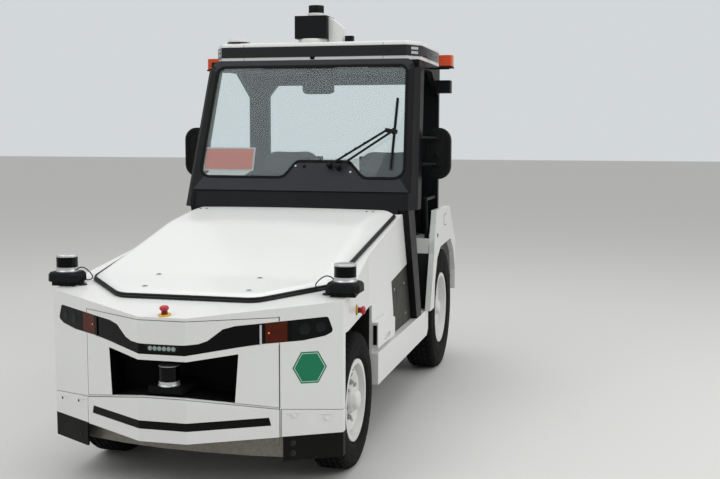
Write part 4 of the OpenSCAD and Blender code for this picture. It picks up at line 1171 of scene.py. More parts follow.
@dataclass
class HoodCover:
    """The soft-edged hood, the double lip of its seal, its buffers and screws."""

    rear_y: float = 0.035
    front_y: float = -1.488
    # Corners of one half from above, and the crown as place along and height over the deck
    outline: tuple = ((0.312, -1.488), (0.56, -1.239), (0.585, 0.035))
    crowns: tuple = ((-1.488, 0.02), (-1.46, 0.024), (-1.219, 0.031), (-0.5, 0.084), (-0.135, 0.062),
                     (0.011, 0.04), (0.035, 0.036))
    seat: float = 0.0105
    sheet: float = 0.007
    soft: float = 0.075
    corner: float = 0.055
    front_round: float = 0.11
    rows: int = 84
    columns: int = 60
    # Lips of the seal as place outside the hood, height over the deck and radius
    lips: tuple = ((0.0075, 0.007, 0.0068), (0.0052, 0.0172, 0.005))
    buffers: tuple = ((-0.24, -1.24), (-0.226, -1.416), (0.245, -1.24), (0.259, -1.42))
    screws: tuple = ((0.462, -0.13), (0.498, -0.13), (-0.462, -0.13), (-0.498, -0.13))

    def __post_init__(self) -> None:
        """Works out the rounded outline of one half."""
        points = [Vector(p) for p in ((0, self.front_y), *self.outline, (0, self.rear_y))]
        half = [points[0]]
        for i, radius in enumerate((self.front_round, 0.06, self.corner), 1):
            a, b, c = points[i - 1], points[i], points[i + 1]
            to_a, to_c = (a - b).normalized(), (c - b).normalized()
            reach = radius / tan(to_a.angle(to_c) / 2)
            start, end = b + to_a * reach, b + to_c * reach
            for k in range(9):
                t = k / 8
                half.append((1 - t) ** 2 * start + 2 * t * (1 - t) * b + t * t * end)
        half.append(points[4])
        self.half = half

    def width(self, y: float) -> float:
        """Measures the outline.

        Args:
            y: Place along the tug.

        Returns:
            Half the hood's width there.
        """
        best = 0.0
        for a, b in zip(self.half, self.half[1:]):
            low, high = min(a.y, b.y), max(a.y, b.y)
            if low - 1e-9 <= y <= high + 1e-9:
                share = 0.0 if high - low < 1e-9 else (y - a.y) / (b.y - a.y)
                here = a.x + (b.x - a.x) * min(1.0, max(0.0, share))
                best = max(best, here, b.x if high - low < 1e-9 else 0.0)
        return best

    def crown(self, y: float) -> float:
        """Gives the crown's height over the deck, its creases smoothed over 110 mm.

        Args:
            y: Place along the tug.

        Returns:
            The height.
        """
        def raw(at: float) -> float:
            """Reads the crown's height between its stations.

            Args:
                at: Place along the tug.

            Returns:
                Height before smoothing.
            """
            at = min(max(at, self.crowns[0][0]), self.crowns[-1][0])
            for (y0, h0), (y1, h1) in zip(self.crowns, self.crowns[1:]):
                if at <= y1:
                    return h0 + (h1 - h0) * (at - y0) / (y1 - y0)
            return self.crowns[-1][1]

        return sum(raw(y + 0.011 * k) for k in range(-5, 6)) / 11

    def height(self, x: float, y: float) -> float:
        """Gives the hood's upper surface.

        Args:
            x: Place across.
            y: Place along the tug.

        Returns:
            Height of the surface.
        """
        near = 1.0
        p = Vector((abs(x), y))
        for a, b in zip(self.half, self.half[1:]):
            edge = b - a
            t = min(1.0, max(0.0, (p - a).dot(edge) / max(edge.length_squared, 1e-12)))
            near = min(near, (p - (a + edge * t)).length)
        low = deck_z(y) + self.seat + self.sheet
        # The side falls off in one soft curve, wider towards the cab
        reach = self.soft * (1.0 if y > -0.6 else max(0.45, 1.0 + (y + 0.6) * 0.75))
        share = min(1.0, near / reach)
        curve = 1 - (1 - share) ** 2.2
        bow = 0.006 * (1 - (abs(x) / 0.6) ** 2)
        return low + (deck_z(y) + self.crown(y) + bow - low) * curve

    def place(self, x: float, y: float) -> Matrix:
        """Makes a frame on the hood.

        Args:
            x: Place across.
            y: Place along the tug.

        Returns:
            Frame with Z outwards.
        """
        step = 0.004
        run = Vector((2 * step, 0, self.height(x + step, y) - self.height(x - step, y)))
        rise = Vector((0, 2 * step, self.height(x, y + step) - self.height(x, y - step)))
        return upright((x, y, self.height(x, y)), run.cross(rise), (0, 1, 0))

    def build(self) -> None:
        """Builds the hood, its seal and its small parts."""
        self._sheet()
        self._lips()
        self._small_parts()
        LOG.info("hood: soft sheet, double seal, buffers")

    def _sheet(self) -> None:
        """Builds the hood as one sheet with its underside and hinge eyes."""
        bm = bmesh.new()
        across = [sin(pi / 2 * (2 * k / self.columns - 1)) for k in range(self.columns + 1)]
        along = [0.5 - 0.5 * cos(pi * k / self.rows) for k in range(self.rows + 1)]
        grids: list[list[list[bmesh.types.BMVert]]] = [[], []]
        for t in along:
            y = self.front_y + 1e-5 + (self.rear_y - self.front_y - 2e-5) * t
            w = self.width(y)
            for sunk, grid in zip((0.0, self.sheet), grids):
                grid.append([bm.verts.new((u * w, y, self.height(u * w, y) - sunk)) for u in across])
        for grid, turn in zip(grids, (False, True)):
            for one, two in zip(grid, grid[1:]):
                for k in range(self.columns):
                    corners = (one[k], one[k + 1], two[k + 1], two[k])
                    bm.faces.new(tuple(reversed(corners)) if turn else corners)
        top, low = grids
        for one, two, under, over in zip(top, top[1:], low, low[1:]):
            bm.faces.new((one[0], two[0], over[0], under[0]))
            bm.faces.new((one[-1], under[-1], over[-1], two[-1]))
        for row in (0, -1):
            for k in range(self.columns):
                bm.faces.new((top[row][k], low[row][k], low[row][k + 1], top[row][k + 1]))
        hinge_y, hinge_z = 0.048, deck_z(self.rear_y) + 0.013
        for side in Side:
            low_x, high_x = sorted((side.value * 0.351, side.value * 0.379))
            add_lathe(bm, [(0.0034, 0), (0.0068, 0), (0.0068, 0.028), (0.0034, 0.028), (0.0034, 0)],
                      upright((low_x, hinge_y, hinge_z), (1, 0, 0)), 24)
            add_box(bm, (low_x, self.rear_y - 0.03, hinge_z + 0.003),
                    (high_x, hinge_y - 0.002, hinge_z + 0.0066))
        hood = make_piece("hood_sheet", bm, WHITE_ENAMEL, body="hood")
        shade(hood, 50)
        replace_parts(hood, "hood")

    def _lips(self) -> None:
        """Builds the two rubber lips round the hood's front and sides."""
        line = [Vector((p.x, p.y)) for p in self.half if p.y < self.rear_y - self.corner * 0.5]
        line = [Vector((-p.x, p.y)) for p in reversed(line[1:])] + line
        fine = []
        for a, b in zip(line, line[1:]):
            count = max(1, int((b - a).length / 0.05))
            fine += [a + (b - a) * k / count for k in range(count)]
        fine.append(line[-1])
        bm = bmesh.new()
        for out, lift, radius in self.lips:
            path = []
            for i, p in enumerate(fine):
                ahead = fine[min(i + 1, len(fine) - 1)] - fine[max(i - 1, 0)]
                outward = Vector((ahead.y, -ahead.x)).normalized()
                spot = p + outward * out
                path.append(Vector((spot.x, spot.y, deck_z(spot.y) + lift)))
            add_tube(bm, path, radius, 12)
        # The flat foot that the lips grow from, under the hood's edge
        for a, b in zip(fine, fine[1:]):
            run = (b - a).normalized()
            inward = Vector((-run.y, run.x))
            ring = [a - inward * 0.006, b - inward * 0.006, b + inward * 0.03, a + inward * 0.03]
            add_rings(bm, [[(v.x, v.y, deck_z(v.y) + lift) for v in ring] for lift in (0.0003, 0.0098)])
        lips = make_piece("hood_seal_lips", bm, SEAL_RUBBER)
        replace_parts(lips, "hood_seal")

    def _small_parts(self) -> None:
        """Builds the four low oval buffers, and two small screws near each rear corner."""
        bm, caps = bmesh.new(), bmesh.new()
        for x, y in self.buffers:
            place = self.place(x, y) @ Matrix.Diagonal((1, 0.62, 1, 1))
            add_lathe(bm, [(0, -0.0005), (0.015, -0.0005), (0.015, 0.0015), (0.0132, 0.0035),
                           (0.011, 0.004), (0.01, 0.0028), (0, 0.003)], place, 32)
            add_lathe(caps, [(0.0098, 0.0029), (0.0094, 0.0036), (0, 0.0038)], place, 24)
        make_piece("hood_buffers", bm, ALUMINIUM, body="hood")
        make_piece("hood_buffer_caps", caps, SEAL_RUBBER, body="hood")
        bm = bmesh.new()
        for x, y in self.screws:
            add_screw(bm, self.place(x, y), 0.0048, 0.003)
        make_piece("hood_screws", bm, DARK_SCREW_AND_DIVIDER_SHADE, body="hood")


@dataclass
class Sensor:
    """A turning range sensor: metal foot, dark window and metal cap."""

    name: str
    node: str
    centre: Pair
    foot_z: float
    top_z: float
    radius: float
    foot_h: float
    cap_h: float
    dark_cap: bool = False
    slot: str = "gloss_black"

    def build(self) -> None:
        """Builds the sensor in place of its plain node."""
        place = Matrix.Translation((self.centre[0], self.centre[1], 0))
        r, z0, z1 = self.radius, self.foot_z, self.top_z
        z_win, z_cap = z0 + self.foot_h, z1 - self.cap_h
        foot = [(0, z0), (r + 0.003, z0), (r + 0.003, z0 + 0.003), (r + 0.001, z0 + 0.006), (r, z0 + 0.009),
                (r, z_win - 0.001), (r - 0.0015, z_win), (0, z_win)]
        window = [(0, z_win - 0.0005), (r - 0.0015, z_win - 0.0005), (r - 0.0005, z_win + 0.001),
                  (r - 0.0005, z_cap - 0.001), (r - 0.0015, z_cap + 0.0005), (0, z_cap + 0.0005)]
        cap = [(0, z_cap), (r - 0.0015, z_cap), (r, z_cap + 0.001), (r, z1 - 0.004), (r - 0.003, z1 - 0.0006),
               (r - 0.006, z1), (r * 0.5, z1 - 0.0004), (0, z1 - 0.0004)]
        shapes = [("_foot", ALUMINIUM, foot), ("_window", SENSOR_WINDOW, window), ("_cap", ALUMINIUM, cap)]
        if self.dark_cap:
            band = [(r + 0.0006, z_cap - 0.0002), (r + 0.0006, z1 - 0.006), (r + 0.0001, z1 - 0.0055),
                    (r + 0.0001, z_cap - 0.0002), (r + 0.0006, z_cap - 0.0002)]
            shapes.append(("_band", SENSOR_WINDOW, band))
        for part, finish, profile in shapes:
            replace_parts(turned(self.name + part, profile, place, 64, finish), self.node)
        LOG.info("%s: foot, window and cap", self.name)


@dataclass
class SensorHousing:
    """Chamfered box, bracket, clips and lead under each corner sensor."""

    centre: Pair = (0.658, -1.32)
    half: Pair = (0.074, 0.062)
    box_z: Pair = (0.868, 0.9118)
    bracket_half: Pair = (0.056, 0.044)
    cut: float = 0.02
    lead_d: float = 0.0052
    # The lead's route as distance inwards from the sensor's middle and height
    lead_run: tuple = ((0.05, 0.921), (0.062, 0.929), (0.08, 0.933), (0.1, 0.925), (0.12, 0.908),
                       (0.13, 0.893), (0.124, 0.881), (0.108, 0.876), (0.094, 0.876), (0.084, 0.87),
                       (0.081, 0.862))

    def build(self) -> None:
        """Builds the parts on both sides."""
        for side in Side:
            self._housing(side)
            self._lead(side)
        LOG.info("sensor housings: boxes, brackets, leads")

    def _housing(self, side: Side) -> None:
        """Builds the box, the bracket below it and their clips.

        Args:
            side: Side of the tug.
        """
        x, y = side.value * self.centre[0], self.centre[1]
        name = side.word
        hx, hy = self.half
        cx, cy = hx - self.cut, hy - self.cut
        plan = [(hx, -cy), (hx, cy), (cx, hy), (-cx, hy), (-hx, cy), (-hx, -cy), (-cx, -hy), (cx, -hy)]
        low_z, top_z = self.box_z
        bm = bmesh.new()
        add_rings(bm, [[(x + px * grow, y + py * grow, z) for px, py in plan]
                       for z, grow in ((low_z, 1.0), (top_z - 0.012, 0.985), (top_z, 0.86))])
        box = make_piece(f"sensor_box_{name}", bm, GRAINED_ABS, 2.5)
        bx, by = self.bracket_half
        corners = [(x - bx, y - by), (x + bx, y - by), (x + bx, y + by), (x - bx, y + by)]
        bm = bmesh.new()
        add_rings(bm, [[(px, py, deck_z(py) + 0.0006) for px, py in corners],
                       [(px, py, low_z + 0.001) for px, py in corners]])
        bracket = make_piece(f"sensor_bracket_{name}", bm, BLACK_POWDER, 2.0)
        bm = bmesh.new()
        for dx in (-0.044, -0.016, 0.014, 0.042):
            add_screw(bm, upright((x + dx, y - by + 0.0004, low_z - 0.007), (0, -1, 0)), 0.0052, 0.0045)
        for dx in (-0.03, 0.03):
            add_box(bm, (x + dx - 0.008, y - by - 0.006, low_z - 0.014),
                    (x + dx + 0.008, y - by + 0.001, low_z + 0.006))
        make_piece(f"sensor_clips_{name}", bm, BLACK_POWDER, 0.8)
        for piece in (box, bracket):
            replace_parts(piece, "corner_sensor_mounts")

    def _lead(self, side: Side) -> None:
        """Builds the short lead from the sensor's foot to its gland in the deck.

        Args:
            side: Side of the tug.
        """
        name = side.word
        x, y = side.value * self.centre[0], self.centre[1]
        route = [Vector((x - side.value * off, y - 0.006, z)) for off, z in self.lead_run]
        path = smooth_path(route, 6)
        bm = bmesh.new()
        add_tube(bm, path, self.lead_d / 2, 12)
        lead = make_piece(f"sensor_lead_{name}", bm, SEAL_RUBBER)
        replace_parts(lead, "sensor_leads")
        end = path[-1]
        profile = [(0, -0.008), (0.019, -0.008), (0.019, -0.0035), (0.0165, -0.002), (0.0075, -0.001),
                   (0.0065, 0.007), (0.004, 0.01), (0.003, 0.01)]
        place = Matrix.Translation((end.x, end.y, deck_z(end.y) + 0.0075))
        gland = turned(f"sensor_gland_{name}", profile, place, 28, SEAL_RUBBER)
        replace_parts(gland, "sensor_leads")


# Cab


@dataclass
class Screen:
    """The windscreen's plane, and what hangs on it."""

    origin: Triple = (0.0, 0.138, 1.297)
    rake: float = radians(19.9)
    # Places in the glass's plane: across, up
    card: Pair = (-0.447, 0.107)
    wiper_pivots: tuple = ((0.177, 0.062), (0.23, 0.051))
    arm_end: Pair = (0.498, 0.276)
    blade_foot: Pair = (0.534, 0.048)
    blade_run: Pair = (0.007, 0.427)
    nozzle: Pair = (0.022, 0.062)
    screws: tuple = ((-0.03, 0.064), (0.3, 0.03))

    def place(self, x: float, up: float, out: float) -> Matrix:
        """Gives a frame in the windscreen's plane: X across, Y up the glass, Z out of the cab."""
        return (Matrix.Translation(self.origin) @ Matrix.Rotation(pi / 2 - self.rake, 4, "X")
                @ Matrix.Translation((x, up, out)))

    def build(self) -> None:
        """Builds the card behind the glass, the wiper's fittings and the frame's small parts."""
        self._card()
        self._wiper()
        self._nozzles()
        self._mirror_housing()
        LOG.info("windscreen: card, wiper fittings, nozzles")

    def _card(self) -> None:
        """Builds the blank card behind the lower right corner of the glass."""
        for name, half_w, half_h, corner, depth, back, finish in (
            ("card_border", 0.157, 0.072, 0.004, 0.0015, -0.0165, WHITE_FILM),
            ("card_field", 0.148, 0.063, 0.002, 0.0006, -0.0152, SALMON_CARD),
        ):
            plate(name, rounded_box(half_w, half_h, corner), depth, self.place(*self.card, back),
                  finish)

    def _wiper(self) -> None:
        """Builds the wiper's pivot caps, the blade's bridge and the clips of its hose."""
        bm = bmesh.new()
        for pivot in self.wiper_pivots:
            add_lathe(bm, [(0.0148, 0.0295), (0.0152, 0.033), (0.012, 0.04), (0.007, 0.043), (0, 0.044)],
                      self.place(*pivot, 0), 28)
        add_box(bm, (-0.01, -0.018, 0.009), (0.01, 0.018, 0.022), self.place(0.5375, 0.271, 0))
        make_piece("wiper_caps", bm, GRAINED_ABS, 1.0)
        (foot, low), (across, up), bow = self.blade_foot, self.blade_run, 0.01
        path = []
        for k in range(17):
            t = k / 16
            spot = self.place(foot + across * t, low + up * t, 0.0085 + bow * sin(pi * t))
            path.append(spot.translation)
        bm = bmesh.new()
        add_tube(bm, path, 0.0035, 8)
        make_piece("wiper_bridge", bm, BLACK_POWDER)
        bm = bmesh.new()
        start, end = Vector(self.wiper_pivots[0]), Vector(self.arm_end)
        for k in range(3):
            spot = start + (end - start) * (0.3 + 0.16 * k)
            add_lathe(bm, [(0.007, 0.0258), (0.007, 0.031), (0.004, 0.033), (0, 0.033)], self.place(*spot, 0),
                      16)
        make_piece("wiper_hose_clips", bm, GRAINED_ABS)

    def _mirror_housing(self) -> None:
        """Builds the moulded housing round the inner mirror, up to the header."""
        plan = [(0.093, -0.05), (0.094, 0.06), (0.084, 0.078), (-0.082, 0.078), (-0.093, 0.058),
                (-0.094, -0.046)]
        turns = [radians(a) for a in range(0, 91, 15)]
        arcs = [(-0.094 + 0.03 * (1 - cos(a)), -0.05 - 0.026 * sin(a)) for a in turns]
        plan += arcs + [(-x, y) for x, y in reversed(arcs[1:])]
        place = upright((0.03, 0.442, 1.852), (0, -1, 0))
        plate("mirror_housing", plan, 0.036, place, GRAINED_ABS, 7.0)

    def _nozzles(self) -> None:
        """Builds the washer nozzle and the small screws of the lower panel."""
        turned("washer_nozzle", [(0.01, 0), (0.009, 0.006), (0.005, 0.01), (0, 0.01)],
               self.place(*self.nozzle, 0), 20, GRAINED_ABS)
        bm = bmesh.new()
        for spot in self.screws:
            add_screw(bm, self.place(*spot, 0), 0.004, 0.003)
        make_piece("screen_screws", bm, ZINC_SCREW)


@dataclass
class SeatCushion:
    """One padded part of a seat."""

    name: str
    middle: Triple
    size: Triple
    lean: float
    channels: tuple[float, ...]
    shrink: float = 0.01
    voxel: float = 0.01
    cap: float = 0.016
    corner: float = 0.05
    pressure: float = 4.0
    frames: int = 20
    channel_depth: float = 0.007

    def _form(self) -> Piece:
        """Makes the plain form, a little smaller than the cushion.

        Returns:
            The form.
        """
        bm = bmesh.new()
        half = [s / 2 - self.shrink for s in self.size]
        place = Matrix.Translation(self.middle) @ Matrix.Rotation(self.lean, 4, "X")
        add_prism(bm, rounded_box(half[0], half[1], self.corner, 8), 2 * half[2],
                  place @ Matrix.Translation((0, 0, -half[2])))
        piece = make_piece(self.name, bm, SEAT_VINYL)
        modifier = piece.modifiers.new("remesh", "REMESH")
        modifier.mode = "VOXEL"
        modifier.voxel_size = self.voxel
        self._apply(piece)
        return piece

    def _apply(self, piece: Piece) -> None:
        """Applies all modifiers.

        Args:
            piece: Piece whose mesh takes them in.
        """
        graph = bpy.context.evaluated_depsgraph_get()
        mesh = bpy.data.meshes.new_from_object(piece.evaluated_get(graph))
        piece.modifiers.clear()
        piece.data = mesh

    def build(self) -> Piece:
        """Builds the cushion, blown up as cloth and with its sewn channels.

        Returns:
            The cushion.
        """
        piece = self._form()
        rest = [v.co.copy() for v in piece.data.vertices]
        cloth = piece.modifiers.new("cloth", "CLOTH")
        cloth.settings.use_pressure = True
        cloth.settings.uniform_pressure_force = self.pressure
        cloth.settings.effector_weights.gravity = 0.0
        cloth.settings.quality = 4
        cloth.collision_settings.use_collision = False
        cloth.point_cache.frame_start, cloth.point_cache.frame_end = 1, self.frames
        for number in range(1, self.frames + 1):
            bpy.context.scene.frame_set(number)
        self._apply(piece)
        bpy.context.scene.frame_set(1)
        back = (Matrix.Translation(self.middle) @ Matrix.Rotation(self.lean, 4, "X")).inverted()
        forth = back.inverted()
        for vertex, start in zip(piece.data.vertices, rest):
            move = vertex.co - start
            if move.length > self.cap:
                move *= self.cap / move.length
            local = back @ (start + move)
            # Sewn channels run across the cushion and pull its face in
            for y in self.channels:
                near = exp(-(((local.y - y) / 0.007) ** 2))
                if local.z > 0:
                    inside = min(1.0, max(0.0, (self.size[0] / 2 - abs(local.x)) / 0.03))
                    local.z -= self.channel_depth * near * inside
            vertex.co = forth @ local
        smooth = piece.modifiers.new("smooth", "SUBSURF")
        smooth.levels = smooth.render_levels = 1
        self._apply(piece)
        shade(piece, 180)
        piece.data.materials.clear()
        piece.data.materials.append(SEAT_VINYL.build())
        return piece


@dataclass
class Seats:
    """Two seats with padded cushions on plastic pans."""

    seat_x: float = 0.33
    lean: float = radians(4.0)

    def build(self) -> None:
        """Builds the cushions of one seat and copies them to the other."""
        base = SeatCushion("seat_base_right", (-self.seat_x, 0.872, 0.9515), (0.436, 0.33, 0.092), 0.0,
                           (-0.075, 0.0, 0.075)).build()
        back = SeatCushion("seat_back_right", (-self.seat_x, 1.022, 1.228), (0.436, 0.44, 0.08),
                           pi / 2 - self.lean, (-0.125, -0.045, 0.04), corner=0.11).build()
        for piece in (base, back):
            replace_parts(piece, "seats")
            twin = bpy.data.objects.new(piece.name.replace("right", "left"), piece.data.copy())
            bpy.context.scene.collection.objects.link(twin)
            twin.data.transform(Matrix.Translation((2 * self.seat_x, 0, 0)))
            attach(twin, "chassis")
            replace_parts(twin, "seats")
        self._pans()
        LOG.info("seats: four padded cushions")

    def _pans(self) -> None:
        """Builds the plastic pans that carry the cushions."""
        for side in Side:
            x = side.value * self.seat_x
            corners = [((x - 0.2, 0.745, 0.8935), (x + 0.2, 1.04, 0.91)),
                       ((x - 0.205, 1.05, 0.8935), (x + 0.205, 1.074, 1.395))]
            pan = blocks(f"seat_pan_{side.word}", corners, GRAINED_ABS, 4.0)
            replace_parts(pan, "seats")


@dataclass
class Cockpit:
    """Controls and trim round the driver."""

    hub: Triple = (-0.33, 0.56, 1.2)
    tilt: float = radians(40)
    dash_z: float = 1.2003
    # Pedals as place across and half width
    pedals: tuple = ((-0.3, 0.045), (-0.19, 0.03))

    def build(self) -> None:
        """Builds the horn pad, instrument hood, display, pedals and levers."""
        wheel = Matrix.Translation(self.hub) @ Matrix.Rotation(-self.tilt, 4, "X")
        turned("horn_pad", [(0.041, 0.0115), (0.041, 0.015), (0.036, 0.019), (0, 0.021)], wheel, 40,
               GRAINED_ABS, "steering_wheel")
        blocks("instrument_hood", [((-0.445, 0.18, self.dash_z), (-0.215, 0.32, 1.245))],
               GRAINED_ABS, 12.0)
        blocks("display", [((-0.12, 0.25, self.dash_z), (0.12, 0.275, 1.33))], GRAINED_ABS,
               4.0)
        blocks("display_glass", [((-0.108, 0.2755, 1.215), (0.108, 0.2765, 1.32))],
               SENSOR_WINDOW)
        bm = bmesh.new()
        for x, half in self.pedals:
            add_box(bm, (x - half, 0.235, 0.52), (x + half, 0.245, 0.62))
            add_tube(bm, [Vector((x, y, z)) for y, z in ((0.236, 0.57), (0.205, 0.6), (0.16, 0.72))], 0.009,
                     10)
        make_piece("pedals", bm, SEAL_RUBBER, 2.0)
        bm = bmesh.new()
        lever = smooth_path([wheel @ Vector(p) for p in ((0.03, 0, -0.075), (0.09, 0.01, -0.07),
                                                         (0.15, 0.01, -0.05))])
        add_tube(bm, lever, 0.006, 10)
        make_piece("column_lever", bm, GRAINED_ABS)
        LOG.info("cockpit: controls built")


@dataclass
class Roof:
    """The roof with its cut front corners, its dark band, markers, screws and sensor fittings."""

    half: float = 0.64
    ends: Pair = (0.4, 1.14)
    corner_cut: Pair = (0.07, 0.115)
    # Heights of the lower sheet, the band's lower and upper edge, and the top
    levels: tuple[float, float, float, float] = (1.972, 1.995, 2.057, 2.083)
    cap_thickness: float = 0.012
    wall: float = 0.06
    band_wall: float = 0.0205
    rear_round: float = 0.04
    joint_x: float = 0.429
    screw_x: tuple = (-0.447, -0.409, 0.423, 0.466)
    side_screw_y: tuple = (0.62, 0.8, 1.00)
    latch_x: tuple = (-0.107, 0.101)
    dome: Pair = (-0.488, 0.475)
    beacon: Pair = (0.746, 0.74)

    def outline(self, inset: float) -> list[Pair]:
        """Gives the roof's plan, moved inwards.

        Args:
            inset: How far inwards.

        Returns:
            Corners, counterclockwise.
        """
        h, front, rear = self.half - inset, self.ends[0] + inset, self.ends[1] - inset
        cx, cy = self.corner_cut
        r = max(0.004, self.rear_round - inset)
        # The cut face keeps its distance, so its ends move along the other two faces
        slack = inset * 0.55
        arc = [(h - r + r * cos(radians(a)), rear - r + r * sin(radians(a))) for a in range(0, 91, 15)]
        half = [(h - cx + slack * 0.4, front), (h, front + cy - slack)] + arc
        return half + [(-x, y) for x, y in reversed(half)]

    def _stack(self, bm: Mesh, levels: Sequence[Pair], closed: bool) -> None:
        """Stacks outlines, each with its height and inset, into a shell with or without end faces."""
        add_rings(bm, [[(x, y, z) for x, y in self.outline(inset)] for z, inset in levels], closed, closed)
        bmesh.ops.remove_doubles(bm, verts=bm.verts, dist=0.00001)

    def build(self) -> None:
        """Builds the roof and its details."""
        low, band, cap, top = self.levels
        inner = cap - self.cap_thickness
        bm = bmesh.new()
        self._stack(bm, [(low, 0.004), (band, 0.004), (band, self.band_wall), (inner, self.band_wall),
                         (inner, self.wall), (low, self.wall), (low, 0.004)], False)
        self._stack(bm, [(inner, self.band_wall), (cap, self.band_wall), (cap, 0.006), (top - 0.01, 0.006),
                         (top - 0.004, 0.009), (top - 0.001, 0.018), (top, 0.034)], True)
        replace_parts(make_piece("roof_shell", bm, WHITE_ENAMEL, 1.2), "roof_panel")
        bm = bmesh.new()
        self._stack(bm, [(band, 0.0), (cap, 0.0), (cap, 0.02), (band, 0.02), (band, 0.0)], False)
        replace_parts(make_piece("roof_band", bm, GLOSS_ABS, 1.2), "roof_fascia")
        self._markers()
        self._small_parts()
        lining = [((-0.579, 0.461, 2.037), (0.579, 1.079, 2.0448)),
                  ((-0.59, 1.084, 1.92), (0.59, 1.118, 1.9718))]
        blocks("headliner", lining, HEADLINER, 2.0)
        self._beacons()
        LOG.info("roof: shell, band, markers, screws, headliner, beacons")

    def _markers(self) -> None:
        """Builds the reflective markers on the cut corners."""
        cx, cy = self.corner_cut
        bm = bmesh.new()
        for side in Side:
            middle = (side.value * (self.half - cx / 2), self.ends[0] + cy / 2, 2.026)
            face = upright(middle, (side.value * cy, -cx, 0))
            for row in (-1, 1):
                for column in range(4):
                    place = face @ Matrix.Translation(((column - 1.5) * 0.015, row * 0.0125, 0.0))
                    add_prism(bm, rounded_box(0.0062, 0.0078, 0.0015, 2), 0.0022, place)
        make_piece("roof_markers", bm, MARKER_FILM)

    def _small_parts(self) -> None:
        """Builds the band's screws, the joints of the white sheets, the notch and the latches."""
        front = self.ends[0]
        heads = [upright((x, front, 2.03), (0, -1, 0)) for x in self.screw_x]
        heads += [upright((side.value * self.half, y, 2.026), (side.value, 0, 0))
                  for side in Side for y in self.side_screw_y]
        bm = bmesh.new()
        for place in heads:
            add_screw(bm, place, 0.0038, 0.003)
        make_piece("band_screws", bm, DARK_SCREW_AND_DIVIDER_SHADE)
        bm = bmesh.new()
        for x in (-self.joint_x, self.joint_x):
            add_box(bm, (x - 0.001, front + 0.0034, 1.9725), (x + 0.001, front + 0.006, 1.9948))
            add_box(bm, (x - 0.001, front + 0.0054, 2.0575), (x + 0.001, front + 0.008, 2.072))
        add_prism(bm, [(-0.01, -0.0085), (0.01, -0.0085), (0.017, 0.0085), (-0.017, 0.0085)], 0.003,
                  upright((0.0, front + 0.004, 1.9885), (0, -1, 0)))
        make_piece("roof_joints", bm, DARK_GAP)
        latches = [((x - 0.022, 0.396, 1.963), (x + 0.022, 0.43, 1.973)) for x in self.latch_x]
        blocks("roof_latches", latches, GRAINED_ABS, 2.0)
        profile = [(0.0661, 2.0832), (0.069, 2.0832), (0.069, 2.0905), (0.0675, 2.092), (0.0661, 2.092)]
        turned("dome_ring", profile, Matrix.Translation((*self.dome, 0)), 48, SEAL_RUBBER)

    def _beacons(self) -> None:
        """Builds each beacon's lens ribs and its black foot."""
        for side in Side:
            x, y, name = side.value * self.beacon[0], self.beacon[1], side.word
            bm = bmesh.new()
            for k in range(7):
                rib = [Vector((x + dx, y + dy, 1.9555 + k * 0.0095))
                       for dx, dy in rounded_box(0.0402, 0.0402, 0.0126)]
                add_tube(bm, rib, 0.0018, 8, True)
            make_piece(f"beacon_ribs_{name}", bm, BEACON_LENS)
            blocks(f"beacon_foot_{name}", [((x - 0.043, y - 0.043, 1.938), (x + 0.043, y + 0.043, 1.9475))],
                   GRAINED_ABS, 2.0)


